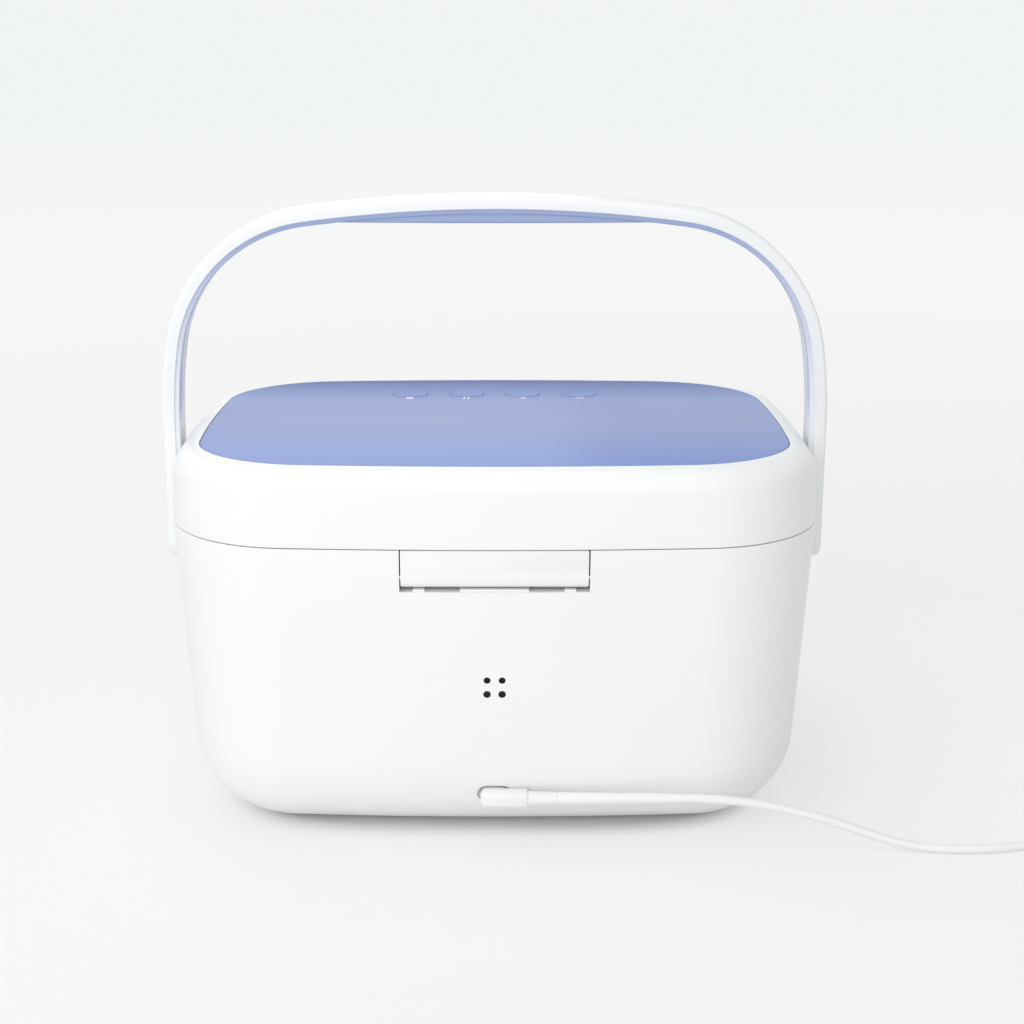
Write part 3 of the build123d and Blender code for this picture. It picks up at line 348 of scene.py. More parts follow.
finishes = {
    "white_case": mouldedPlastic("whiteCase", (0.87, 0.885, 0.89), 0.34, coat=0.15, coatRough=0.2),
    "chamber_silver": mouldedPlastic("chamberSilver", (0.72, 0.74, 0.76), 0.28, coat=0.3),
    # panel and buttons carry painted shade, their blue darkened towards the front edge
    "blue_panel": panelGloss("bluePanel", shadeFade=4.67, shadeFadeStart=0.5, rough=0.24, shine=0.1, stops=[
        (0.0, (0.19, 0.285, 0.625, 1)), (0.45, (0.305, 0.375, 0.66, 1)), (0.72, (0.265, 0.345, 0.64, 1)),
        (0.88, (0.11, 0.20, 0.50, 1)), (1.0, (0.004, 0.04, 0.30, 1))]),
    # lilac trim with painted light: paler lower down the handle
    "lilac_trim": mouldedPlastic("lilacTrim", (0.33, 0.41, 0.63), 0.32, coat=0.4, paintedLightTint=(0.80, 0.83, 0.88),
        paintedLightRange=(0.19, 0.262)),
    "rubber_grey": mouldedPlastic("rubberGrey", (0.2, 0.2, 0.21), 0.75, bump=0.35, grainScale=1500.0, change=0.08),
    "zinc_screw": metalFinish("zincScrew", (0.72, 0.72, 0.7), 0.34),
    "steel_pin": metalFinish("steelPin", (0.66, 0.66, 0.67), 0.26),
    "steel_wire": metalFinish("steelWire", (0.76, 0.76, 0.77), 0.16),
    "board_green": boardFinish("boardGreen", (0.03, 0.2, 0.09), (0.12, 0.36, 0.18)),
    "component_black": mouldedPlastic("componentBlack", (0.035, 0.035, 0.04), 0.5, change=0.15, bump=0.2),
    "lamp_chip": mouldedPlastic("lampChip", (0.86, 0.8, 0.5), 0.25, coat=0.6),
    "clear_window": clearFinish("clearWindow"),
    "bush_white": mouldedPlastic("bushWhite", (0.82, 0.82, 0.8), 0.45),
    "cord_white": mouldedPlastic("cordWhite", (0.88, 0.88, 0.88), 0.42, grainScale=1400.0, bump=0.12),
}
# the buttons share the panel's painted shade
finishes["blue_button"] = finishes["blue_panel"]
printWhite = mouldedPlastic("printWhite", (0.88, 0.89, 0.92), 0.5)

for part in frame["record"]["subparts"]:
    holder = nodes[part["node"]]
    holder.data.materials.clear()
    holder.data.materials.append(finishes[part["material_slot"]])
print("materials on every node")


# mesh helpers; sizes are in millimetres until the mesh is made

def outline(halfX, halfY, bow, corner, inward, side=16, turn=24):
    # points of a closed outline with four bowed sides and round corners, anticlockwise
    span = math.hypot(bow - halfX, bow - halfY)
    lift = math.sqrt((bow - corner) ** 2 - span ** 2 / 4)
    cornerX = lift * (bow - halfY) / span - (bow - halfX) / 2
    cornerY = lift * (bow - halfX) / span - (bow - halfY) / 2
    low = math.atan2(cornerY, cornerX + bow - halfX)
    high = math.atan2(cornerY + bow - halfY, cornerX)
    quarter = []
    for index in range(side):
        angle = low * index / side
        quarter.append((halfX - bow + (bow - inward) * math.cos(angle), (bow - inward) * math.sin(angle)))
    for index in range(turn + 1):
        angle = low + (high - low) * index / turn
        quarter.append((cornerX + (corner - inward) * math.cos(angle), cornerY + (corner - inward) * math.sin(angle)))
    for index in range(1, side + 1):
        angle = high + (math.pi / 2 - high) * index / side
        quarter.append(((bow - inward) * math.cos(angle), halfY - bow + (bow - inward) * math.sin(angle)))
    half = quarter + [(-x, y) for x, y in reversed(quarter[:-1])]
    return half + [(x, -y) for x, y in reversed(half[1:-1])]


def addPiece(name, mesh, slot, body, smooth, replaced=None, material=None):
    # a visual piece, and the CAD node that it stands for
    made = linked(name, mesh)
    finishMesh(made, slot, body, smooth, material)
    if replaced:
        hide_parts(replaced)


def mend(mesh, weld=0.0, shortest=0.0):
    # welded where asked, without slivers, faces outwards
    work = bmesh.new()
    work.from_mesh(mesh)
    if weld:
        bmesh.ops.remove_doubles(work, verts=work.verts, dist=weld)
    if shortest:
        bmesh.ops.dissolve_degenerate(work, edges=work.edges, dist=shortest)
    bmesh.ops.recalc_face_normals(work, faces=work.faces)
    work.to_mesh(mesh)
    work.free()
    return mesh


def finishMesh(made, slot, body, smooth, material):
    # smooth but for its real edges
    mend(made.data, 1e-7)
    made.data.materials.clear()
    made.data.materials.append(material or finishes[slot])
    for face in made.data.polygons:
        face.use_smooth = True
        face.material_index = 0
    made.data.set_sharp_from_angle(angle=math.radians(smooth))
    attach(made, body)


def loft(rings, closed=False, caps=True):
    # rings of equal length become bands; the ends are capped, or joined to each other
    count = len(rings[0])
    points = [point for ring in rings for point in ring]
    faces = []
    for index in range(len(rings) - (0 if closed else 1)):
        first = index * count
        second = (index + 1) % len(rings) * count
        for place in range(count):
            after = (place + 1) % count
            faces.append((first + place, first + after, second + after, second + place))
    if caps and not closed:
        faces.append(tuple(reversed(range(count))))
        faces.append(tuple(range((len(rings) - 1) * count, len(rings) * count)))
    return points, faces


def plainMesh(name, points, faces):
    mesh = bpy.data.meshes.new(name)
    mesh.from_pydata([[value * mm for value in point] for point in points], [], faces)
    return mend(mesh)


def blockMesh(low, high, bevel=0.0):
    # a box, its edges rounded when a bevel is given
    work = bmesh.new()
    bmesh.ops.create_cube(work, size=1.0)
    for vertex in work.verts:
        vertex.co = [(a + b) / 2 + part * (b - a) for a, b, part in zip(low, high, vertex.co)]
    if bevel:
        bmesh.ops.bevel(work, geom=list(work.edges), offset=bevel, segments=5, profile=0.5, affect="EDGES")
    work.verts.index_update()
    points = [tuple(vertex.co) for vertex in work.verts]
    faces = [tuple(vertex.index for vertex in face.verts) for face in work.faces]
    work.free()
    return points, faces


def circle(segments):
    return [(math.cos(turn), math.sin(turn)) for turn in [2 * math.pi * k / segments for k in range(segments)]]


def rodMesh(radius, start, end, segments=40):
    # a round bar between two points
    start, end = Vector(start), Vector(end)
    turn = (end - start).to_track_quat("Z", "Y")
    ring = [Vector((a, b, 0)) * radius for a, b in circle(segments)]
    return loft([[tuple(turn @ point + place) for point in ring] for place in (start, end)])


def post(radius, x, y, low, high, segments):
    return rodMesh(radius, (x, y, low), (x, y, high), segments)


def corners(x, y):
    return [(side * x, end * y) for side in (1, -1) for end in (1, -1)]


def slotMesh(width, height, centre, low, high, segments=16):
    # a bar with round ends, lying along y
    half = width / 2 - height / 2
    ring = []
    for side, first in ((1, -90), (-1, 90)):
        for index in range(segments + 1):
            angle = math.radians(first + 180 * index / segments)
            ring.append((centre[0] + side * half + height / 2 * math.cos(angle),
                    centre[1] + height / 2 * math.sin(angle)))
    return loft([[(x, y, z) for x, z in ring] for y in (low, high)])


def joined(*shapes):
    points, faces = [], []
    for shapePoints, shapeFaces in shapes:
        start = len(points)
        points += shapePoints
        faces += [tuple(start + index for index in face) for face in shapeFaces]
    return points, faces


def combined(mesh, shapes, operation):
    # a boolean on plain meshes, its result a new plain mesh
    target = linked("target", mesh)
    other = linked("other", shapes if isinstance(shapes, bpy.types.Mesh) else plainMesh("other", *joined(*shapes)))
    change = target.modifiers.new("cut", "BOOLEAN")
    change.operation = operation
    change.solver = "EXACT"
    change.use_self = True
    change.object = other
    bpy.context.view_layer.update()
    result = bpy.data.meshes.new_from_object(target.evaluated_get(bpy.context.evaluated_depsgraph_get()))
    bpy.data.objects.remove(target)
    bpy.data.objects.remove(other)
    return result


def onAxis(profile, segments):
    # a profile of (radius, height) turned about an upright axis
    return loft([[(radius * a, radius * b, height) for a, b in circle(segments)] for radius, height in profile])


# case and lid outlines

case = {"halfX": 145.0, "halfY": 118.0, "bow": 1300.0, "corner": 56.0, "wall": 3.0, "draft": 0.062,
    "bottomRadius": 39.0, "bottom": 1.5, "top": 139.2, "ledge": 136.4, "rimWall": 1.6, "edge": 0.25, "rise": 0.3}
lid = {"bottom": 139.9, "wall": 3.0, "draft": 0.038, "round": 10.3, "deck": 2.4, "lip": 1.5, "lipHeight": 2.0,
    "height": 169.8, "slope": 0.034, "edge": 0.35, "well": 4.6, "stem": 2.6, "overlap": 2.6,
    "wellWall": 1.4, "wellDeep": 6.0, "boardPost": (3.0, 57.6, 8), "coverPost": (3.6, 106, 76, 142.6, 3.6)}
panel = {"halfX": 133.4, "halfY": 107.0, "bow": 1000.0, "corner": 54.0, "thickness": 2.4, "gap": 0.25, "edge": 0.8}
hinge = {"y": 112.9, "z": 126.6, "barrel": 4.2, "half": 40.4, "floor": 120.9, "sideGap": 0.6, "seam": 0.4,
    "back": 1.5, "wall": 2.2, "side": 4.0, "outer": 115.4, "pinBore": 1.5, "pinFrom": 36, "pinTo": 43.4}


def caseRing(inward, height):
    return [(x, y, height) for x, y in outline(case["halfX"], case["halfY"], case["bow"], case["corner"], inward)]


def lidTop(y):
    return lid["height"] + lid["slope"] * y


def panelRing(inward, drop):
    return [(x, y, lidTop(y) - drop)
        for x, y in outline(panel["halfX"], panel["halfY"], panel["bow"], panel["corner"], inward)]


def bucketArc(inward, top, floor, radius, steps, draft=case["draft"]):
    # places round a bucket's large bottom edge, from its drafted wall down to the floor
    first = math.atan(draft)
    middle = floor + radius
    centre = inward + draft * (top - middle) + radius * math.hypot(1, draft)
    turns = [first + (math.pi / 2 - first) * index / steps for index in range(steps + 1)]
    return [(centre - radius * math.cos(turn), middle - radius * math.sin(turn)) for turn in turns]


def wallLine(inward, top, heights, draft=case["draft"]):
    return [(inward + draft * (top - height), height) for height in heights]


def edgeArc(inward, height, radius, low, high, steps=4):
    # small rounding about a centre, angles in degrees from outwards to upwards
    return [(inward - radius * math.cos(math.radians(low + (high - low) * k / steps)),
            height + radius * math.sin(math.radians(low + (high - low) * k / steps))) for k in range(steps + 1)]


opening = {"halfX": 80.0, "halfY": 52.0, "corner": 14.0, "lap": 5.5, "step": 1.5, "straight": 1e5}
scoop = {"half": 32.0, "depth": 3.8, "height": 12.0, "radius": 2.4, "wall": 3.0, "skin": 1.5}
port = {"height": 25.1, "width": 15.6, "tall": 8.6, "floor": 105.2, "wall": 2.6, "socket": (9.24, 3.5),
    "lowerPad": 104.4, "upperPad": 107.0, "split": 25.0}
sound = {"Outer Radius": 1.35, "Inner Radius": 3.0, "Pitch": 6.5, "Depth": 5.0}
soundSeat = {"height": 77.1, "outer": 114.8, "pad": 12.7, "bore": 11.2, "inner": 107.15, "face": 111.15,
    "back": 112.2}
# posts inside the base: x, y, radius, low and high end
posts = [(121.3, 94.3, 5.0, 110.0, 136.4), (121.3, -94.3, 5.0, 110.0, 136.4), (44.0, 54.75, 3.8, 3.0, 15.0),
    (44.0, -54.75, 3.8, 3.0, 15.0), (42.0, 64.8, 2.6, 2.5, 21.9), (42.0, 94.8, 2.6, 11.3, 21.9)]
pivot = {"y": 15.0, "z": 115.9, "boss": 10.0, "start": 137.0, "face": 144.2, "bore": 5.05}
# raised tabs under the tongue: middle, half width and outer face
tabs = [(0, 14.7, 115.7), (32.2, 2.5, 115.9), (-32.2, 2.5, 115.9)]


def openTree(name, inputs):
    # a tree with named numbers and a material as its inputs
    tree = bpy.data.node_groups.new(name, "GeometryNodeTree")
    for title, value in inputs.items():
        kind = "NodeSocketInt" if isinstance(value, int) else "NodeSocketFloat"
        tree.interface.new_socket(name=title, in_out="INPUT", socket_type=kind)
    tree.interface.new_socket(name="Material", in_out="INPUT", socket_type="NodeSocketMaterial")
    tree.interface.new_socket(name="Geometry", in_out="OUTPUT", socket_type="NodeSocketGeometry")
    given = tree.nodes.new("NodeGroupInput")
    return Link(tree), {socket.name: Link(tree, socket) for socket in given.outputs if socket.name}


def closeGrowth(link, value, instances):
    real = link.node("GeometryNodeRealizeInstances", {"Geometry": instances})
    done = link.node("GeometryNodeSetMaterial", {"Geometry": real, "Material": value["Material"]})
    link.node("NodeGroupOutput", {"Geometry": done})
    return link.tree


def holeCutters(inputs):
    # the sound holes are bored by a small grid of cones, wider on the inside of the wall
    link, value = openTree("soundHoleGrid", inputs)
    grid = link.node("GeometryNodeMeshGrid", {"Size X": value["Pitch"], "Size Y": value["Pitch"],
            "Vertices X": 2, "Vertices Y": 2})
    cone = link.node("GeometryNodeMeshCone", {"Vertices": 32, "Radius Top": value["Inner Radius"],
            "Radius Bottom": value["Outer Radius"], "Depth": value["Depth"]})
    cones = link.node("GeometryNodeInstanceOnPoints", {"Points": grid, "Instance": cone})
    return closeGrowth(link, value, cones)


def grown(tree, inputs, slot):
    # runs a node tree on an empty mesh and returns the plain mesh it makes
    values = {**inputs, "Material": finishes[slot]}
    holder = linked("holder", bpy.data.meshes.new("holder"))
    change = holder.modifiers.new("grow", "NODES")
    change.node_group = tree
    for socket in tree.interface.items_tree:
        if socket.in_out == "INPUT":
            change[socket.identifier] = values[socket.name]
    bpy.context.view_layer.update()
    mesh = bpy.data.meshes.new_from_object(holder.evaluated_get(bpy.context.evaluated_depsgraph_get()))
    bpy.data.objects.remove(holder)
    return mesh


def turnedMesh(mesh, rows):
    # new axes for a mesh: each row says which of x, y, z goes where, with its sign and its offset in millimetres
    for vertex in mesh.vertices:
        old = vertex.co.copy()
        vertex.co = [sign * old[axis] + offset * mm for axis, sign, offset in rows]
    return mesh


def onPivot(side, x):
    return side * x, pivot["y"], pivot["z"]


def makeBase():
    p = case
    edge = p["edge"]
    rim = p["top"] + p["rise"] - edge
    profile = edgeArc(p["rimWall"] - edge, rim, edge, 180, 90) + edgeArc(edge, rim, edge, 90, 0)
    profile += wallLine(0, p["top"], (132, 124, 116, 104, 90, 75, 60, 50))
    profile += bucketArc(0, p["top"], p["bottom"], p["bottomRadius"], 26)
    rings = [caseRing(*place) for place in profile]
    for lap, height in ((opening["lap"], p["bottom"]), (opening["lap"], p["bottom"] + opening["step"]),
            (0, p["bottom"] + opening["step"]), (0, p["bottom"] + p["wall"])):
        rings.append([(x, y, height) for x, y in outline(opening["halfX"] + lap, opening["halfY"] + lap,
                opening["straight"], opening["corner"] + lap, 0)])
    inside = bucketArc(p["wall"], p["top"], p["bottom"] + p["wall"], p["bottomRadius"] - p["wall"], 18)[::-1]
    inside += wallLine(p["wall"], p["top"], (60, 90, 120, p["ledge"]))
    inside += [(p["rimWall"], p["ledge"])]
    rings += [caseRing(*place) for place in inside]
    mesh = plainMesh("caseBase", *loft(rings, closed=True))
    # pads and posts first, then the pockets and bores in them
    back = hinge["y"] - hinge["barrel"] - hinge["back"]
    outer = hinge["half"] + hinge["side"]
    half = port["width"] / 2 + port["wall"]
    rise = port["tall"] / 2 + port["wall"]
    deep = port["floor"] - port["wall"]
    front = -p["halfY"]
    lip = scoop["wall"]
    seat = soundSeat
    added = [blockMesh((-outer, back - hinge["wall"], hinge["floor"] - hinge["wall"]),
            (outer, hinge["outer"], p["ledge"])),
        blockMesh((-half, deep, port["height"] - rise), (half, port["lowerPad"], port["height"] + rise)),
        blockMesh((-half, deep, port["split"]), (half, port["upperPad"], port["height"] + rise)),
        blockMesh((-scoop["half"] - lip, front + scoop["skin"], p["top"] - scoop["height"] - lip),
            (scoop["half"] + lip, front + scoop["depth"] + lip, p["ledge"]))]
    added += [rodMesh(pivot["boss"], onPivot(side, pivot["start"]), onPivot(side, pivot["face"]), 64)
        for side in (1, -1)]
    for x, y, radius, low, high in posts:
        added += [post(radius, side * x, y, low, high, 32) for side in (1, -1)]
    added.append(rodMesh(seat["pad"], (0, seat["inner"], seat["height"]), (0, seat["back"], seat["height"]), 48))
    mesh = combined(mesh, added, "UNION")
    cuts = [rodMesh(seat["bore"], (0, 100, seat["height"]), (0, seat["face"], seat["height"]), 48),
        blockMesh((-hinge["half"], back, hinge["floor"]), (hinge["half"], 125.0, p["top"] + 3)),
        blockMesh((-scoop["half"], front - 6, p["top"] - scoop["height"]),
            (scoop["half"], front + scoop["depth"], p["top"] + 14), scoop["radius"]),
        slotMesh(port["width"], port["tall"], (0, port["height"]), port["floor"], 120.0),
        slotMesh(*port["socket"], (0, port["height"]), port["floor"] - 5, port["floor"] + 1)]
    for side in (1, -1):
        cuts.append(rodMesh(pivot["bore"], onPivot(side, 130), onPivot(side, 150)))
        cuts.append(rodMesh(hinge["pinBore"], (side * hinge["pinFrom"], hinge["y"], hinge["z"]),
                (side * hinge["pinTo"], hinge["y"], hinge["z"]), 24))
    mesh = combined(mesh, cuts, "DIFFERENCE")
    inputs = {name: size * mm for name, size in sound.items()}
    grid = grown(holeCutters(inputs), inputs, "white_case")
    turnedMesh(grid, ((0, 1, 0), (2, -1, seat["outer"]), (1, 1, seat["height"])))
    mesh = combined(mesh, grid, "DIFFERENCE")
    floor = hinge["floor"]
    raised = [blockMesh((x - wide, 108.7, floor - 1), (x + wide, face, floor + 0.9), 0.25) for x, wide, face in tabs]
    mesh = combined(mesh, raised, "UNION")
    addPiece("caseBase", mesh, "white_case", "base", 28, "base_shell")


def makeLid():
    p = lid
    edge = p["edge"]
    profile = edgeArc(p["lip"] - edge, p["bottom"] + edge, edge, 180, 270)
    profile += edgeArc(edge, p["bottom"] + edge, edge, -90, 0)
    rings = [caseRing(*place) for place in profile]
    lean = p["draft"] * (p["height"] - p["round"] - p["bottom"])
    for part in (0.25, 0.5, 0.75):
        rings.append([(x, y, p["bottom"] + (lidTop(y) - p["round"] - p["bottom"]) * part)
                for x, y, z in caseRing(lean * part, 0)])
    brow = panelRing(-panel["gap"] - 0.25, 0)
    for index in range(17):
        # the round runs from the wall to the panel's own outline
        angle = math.radians(90 * index / 16)
        share = 1 - math.cos(angle)
        places = [(x + (u - x) * share, y + (v - y) * share) for (x, y, z), (u, v, w) in zip(caseRing(lean, 0), brow)]
        rings.append([(x, y, lidTop(y) - p["round"] * (1 - math.sin(angle))) for x, y in places])
    rings += [panelRing(-panel["gap"], drop) for drop in (0.25, panel["thickness"])]
    inner = [[(x, y, p["bottom"] + p["lipHeight"]) for x, y, z in caseRing(inward, 0)]
        for inward in (p["lip"], p["wall"])]
    inner += [[(x, y, lidTop(y) - drop) for x, y, z in caseRing(p["wall"] + inward, 0)]
        for inward, drop in ((0.7, 12), (8, panel["thickness"] + p["deck"]))]
    mesh = plainMesh("lidShell", *loft(inner[::-1] + rings))
    row = buttons["row"]
    top = lidTop(row)
    added = [post(buttons["well"] + p["wellWall"], x, row, top - p["wellDeep"], top - p["overlap"], 48)
        for x in buttons["columns"]]
    radius, x, reach = p["boardPost"]
    added += [post(radius, side * x, y, lidTop(y) + buttons["board"], lidTop(y) - p["overlap"], 32)
        for side in (1, -1) for y in (row - reach, row + reach)]
    radius, x, y, low, drop = p["coverPost"]
    added += [post(radius, a, b, low, lidTop(b) - drop, 32) for a, b in corners(x, y)]
    mesh = combined(mesh, added, "UNION")
    wells = [post(buttons["well"], x, row, top - p["well"], 190, 64) for x in buttons["columns"]]
    wells += [post(p["stem"], x, row, 150, 190, 32) for x in buttons["columns"]]
    mesh = combined(mesh, wells, "DIFFERENCE")
    addPiece("lidShell", mesh, "white_case", "lid", 28, "lid_shell")


buttons = {"columns": [-42.6, -14.2, 14.2, 42.6], "row": -64.5,
    "names": ["button_on", "button_start", "button_pause", "button_off"],
    "radius": 8.55, "gap": 0.22, "proud": 0.25, "dish": 0.45, "edge": 0.5, "flange": 1.1, "foot": -8.0,
    "stem": 2.2, "seat": (-3.4, -2.6), "well": 10.2, "markRow": -53.4, "markLift": 0.05, "markSink": 0.02,
    "board": -11.0}


def makePanel():
    p = panel
    rings = [panelRing(0, drop) for drop in (p["thickness"], p["edge"])]
    for index in range(1, 7):
        angle = math.radians(90 * index / 6)
        rings.append(panelRing(p["edge"] * (1 - math.cos(angle)), p["edge"] * (1 - math.sin(angle))))
    mesh = plainMesh("topPanel", *loft(rings))
    holes = [post(buttons["radius"] + buttons["gap"], x, buttons["row"], 150, 190, 72) for x in buttons["columns"]]
    mesh = combined(mesh, holes, "DIFFERENCE")
    addPiece("topPanel", mesh, "blue_panel", "lid", 28, "top_panel")


def makeButtons():
    p = buttons
    radius, edge, wide = p["radius"], p["edge"], p["radius"] + p["flange"]
    low, high = p["seat"]
    profile = [(0.01, p["foot"]), (p["stem"], p["foot"]), (p["stem"], low), (wide, low), (wide, high),
        (radius, high), (radius, p["proud"] - edge)]
    profile += [(radius - edge * (1 - math.cos(math.radians(a))), p["proud"] - edge * (1 - math.sin(math.radians(a))))
        for a in (20, 40, 60, 75, 90)]
    profile += [((radius - edge) * part, p["proud"] - p["dish"] * (1 - part ** 2))
        for part in (0.97, 0.9, 0.8, 0.65, 0.5, 0.35, 0.2, 0.1, 0.002)]
    for name, x in zip(p["names"], p["columns"]):
        points, faces = onAxis(profile, 72)
        points = [(x + a, p["row"] + b, lidTop(p["row"] + b) + c) for a, b, c in points]
        addPiece(name + "Cap", plainMesh(name, points, faces), "blue_button", name, 40, name)


def markShapes():
    # plain symbols for on, start, pause and off, each a list of closed outlines around their own middle
    ring = [(math.cos(math.radians(a)), math.sin(math.radians(a))) for a in range(-235, 56, 10)]
    power = [(2.0 * x, 2.0 * y) for x, y in ring] + [(1.55 * x, 1.55 * y) for x, y in reversed(ring)]
    stem = [(-0.24, 0.4), (0.24, 0.4), (0.24, 2.3), (-0.24, 2.3)]
    start = [(-1.5, -1.9), (2.0, 0.0), (-1.5, 1.9)]
    bars = [[(x - 0.5, -1.8), (x + 0.5, -1.8), (x + 0.5, 1.8), (x - 0.5, 1.8)] for x in (-1.1, 1.1)]
    stop = [(-1.7, -1.7), (1.7, -1.7), (1.7, 1.7), (-1.7, 1.7)]
    return [[power, stem], [start], bars, [stop]]


def makeMarks():
    p = buttons
    shapes = []
    for x, figures in zip(p["columns"], markShapes()):
        for figure in figures:
            # drawn for a reader at the front
            ring = [(x + a, p["markRow"] + b) for a, b in figure]
            shapes.append(loft([[(a, b, lidTop(b) + height) for a, b in ring]
                    for height in (-p["markSink"], p["markLift"])]))
    mesh = plainMesh("buttonMarks", *joined(*shapes))
    addPiece("buttonMarks", mesh, "blue_panel", "lid", 28, material=printWhite)


tongue = {"edge": 0.25, "lead": 0.35, "wrap": 276, "bore": 1.56, "tabThick": 2.5, "tabReach": 13.1, "tabGap": 0.2,
    "tabLow": (-34, 134.8), "tabHigh": (34, 152.0), "tabEdge": 0.3, "screws": (1.3, 147.0, (-22, 22))}


def makeTongue():
    p, q = hinge, tongue
    half = p["half"] - p["sideGap"]
    top = lid["bottom"] - p["seam"]
    edge, lead = q["edge"], q["lead"]
    topY = case["halfY"] - case["draft"] * (case["top"] - top) + 0.02
    profile = [(topY - lead, top), (topY, top - lead)]
    for part in (0.25, 0.5, 0.75):
        profile.append((topY + (p["y"] + p["barrel"] - topY) * part, top - lead + (p["z"] - top + lead) * part))
    for index in range(33):
        angle = math.radians(-q["wrap"] * index / 32)
        profile.append((p["y"] + p["barrel"] * math.cos(angle), p["z"] + p["barrel"] * math.sin(angle)))
    back = case["halfY"] - lid["wall"] - lid["draft"] * q["tabReach"] - q["tabGap"]
    front = back - q["tabThick"]
    profile.append((front, top))
    centreY, centreZ = [sum(values) / len(profile) for values in zip(*profile)]
    rings = []
    for x, shrink in ((-half, edge), (-half + edge, 0), (half - edge, 0), (half, edge)):
        ring = []
        for y, z in profile:
            away = Vector((y - centreY, z - centreZ)).normalized()
            ring.append((x, y - shrink * away[0], z - shrink * away[1]))
        rings.append(ring)
    mesh = plainMesh("hingeTongue", *loft(rings))
    (left, low), (right, high) = q["tabLow"], q["tabHigh"]
    mesh = combined(mesh, [blockMesh((left, front, low), (right, back, high), q["tabEdge"])], "UNION")
    bores = [rodMesh(q["bore"], (-half - 1, p["y"], p["z"]), (half + 1, p["y"], p["z"]), 32)]
    radius, height, columns = q["screws"]
    bores += [rodMesh(radius, (x, back - 5, height), (x, back + 3, height), 24) for x in columns]
    mesh = combined(mesh, bores, "DIFFERENCE")
    addPiece("hingeTongue", mesh, "white_case", "lid", 28, "hinge_tongue")


tub = {"inward": 17.0, "wall": 1.6, "floor": 34.0, "radius": 22.0, "top": 138.2, "flange": 1.8,
    "window": (96.0, 44.0), "edge": 0.6, "pillar": (2.4, 55, 15, 26.0, 33.0), "screw": (1.7, 121.3, 94.3),
    "hingeGap": ((-44.6, 104.8, 130), (44.6, 125, 145)), "scoopGap": ((-35.2, -125, 130), (35.2, -111.0, 145))}


def makeTub():
    p = tub
    profile = [(p["flange"], p["top"]), (p["flange"], case["ledge"]), (p["inward"] + 0.11, case["ledge"])]
    profile += wallLine(p["inward"], p["top"], (110, 85, 65))
    profile += bucketArc(p["inward"], p["top"], p["floor"] - p["wall"], p["radius"], 16)
    rings = [caseRing(*place) for place in profile]
    for height in (p["floor"] - p["wall"], p["floor"]):
        rings.append([(x, y, height) for x, y in outline(p["window"][0] / 2, p["window"][1] / 2, 1e5, 1.0, 0)])
    inner = p["inward"] + p["wall"]
    inside = bucketArc(inner, p["top"], p["floor"], p["radius"] - p["wall"], 20)[::-1]
    inside += wallLine(inner, p["top"], (65, 85, 110, p["top"] - p["edge"]))
    inside += edgeArc(inner - p["edge"], p["top"] - p["edge"], p["edge"], 150, 90)
    rings += [caseRing(*place) for place in inside]
    mesh = plainMesh("innerTub", *loft(rings, closed=True))
    radius, x, y, low, high = p["pillar"]
    pillars = [post(radius, a, b, low, high, 24) for a, b in corners(x, y)]
    mesh = combined(mesh, pillars, "UNION")
    cuts = [blockMesh(*p["hingeGap"]), blockMesh(*p["scoopGap"])]
    radius, x, y = p["screw"]
    cuts += [post(radius, a, b, 130, 145, 24) for a, b in corners(x, y)]
    mesh = combined(mesh, cuts, "DIFFERENCE")
    addPiece("innerTub", mesh, "chamber_silver", "base", 30, "inner_tub")


rack = {"halfX": 96.0, "halfY": 62.0, "corner": 24.0, "wire": 1.6, "cross": 1.2, "height": 46.0, "floor": 34.0,
    "count": 7, "legX": 72}


def rowTree(name, inputs, axis):
    # a row of equal round bars along x, each lying along one axis and shrinking by a fixed share from bar to bar
    link, value = openTree(name, inputs)
    step = link.node("ShaderNodeCombineXYZ", {"X": value["Step"]})
    start = link.node("ShaderNodeCombineXYZ", {"X": value["Start"]})
    line = link.node("GeometryNodeMeshLine", {"Count": value["Count"], "Start Location": start, "Offset": step})
    bar = link.node("GeometryNodeMeshCylinder", {"Vertices": 40, "Radius": value["Radius"], "Depth": value["Length"]})
    size = 1.0 - link.node("GeometryNodeInputIndex") * value["Shrink"]
    scale = link.node("ShaderNodeCombineXYZ", {"X": size, "Y": size, "Z": 1.0})
    bars = link.node("GeometryNodeInstanceOnPoints",
        {"Points": line, "Instance": bar, "Rotation": axis, "Scale": scale})
    return closeGrowth(link, value, bars)


def merged(first, second, move):
    # two plain meshes as one, the second moved
    work = bmesh.new()
    work.from_mesh(second)
    for vertex in work.verts:
        vertex.co += Vector(move) * mm
    work.from_mesh(first)
    work.to_mesh(first)
    work.free()
    return first


def makeRack():
    p = rack
    path = outline(p["halfX"], p["halfY"], 1e5, p["corner"], 0, 4, 14)
    rings = []
    for index, here in enumerate(path):
        before, after = Vector(path[index - 1]), Vector(path[(index + 1) % len(path)])
        side = (after - before).normalized()
        across = Vector((side[1], -side[0], 0))
        rings.append([tuple(Vector((*here, p["height"])) + p["wire"] * (across * a + Vector((0, 0, b))))
                for a, b in circle(16)])
    legs = [post(p["cross"], x, y, p["floor"], p["height"], 20) for x, y in corners(p["legX"], p["halfY"])]
    frameMesh = plainMesh("rackFrame", *joined(loft(rings, closed=True), *legs))
    spacing = 2 * (p["halfX"] - p["corner"]) / (p["count"] - 1)
    inputs = {"Count": p["count"], "Start": -(p["halfX"] - p["corner"]) * mm, "Step": spacing * mm,
        "Radius": p["cross"] * mm, "Length": 2 * p["halfY"] * mm, "Shrink": 0.0}
    wires = grown(rowTree("rackCrossWires", inputs, (math.pi / 2, 0, 0)), inputs, "steel_wire")
    mesh = merged(frameMesh, wires, (0, 0, p["height"]))
    addPiece("wireRack", mesh, "steel_wire", "base", 40, "wire_rack")


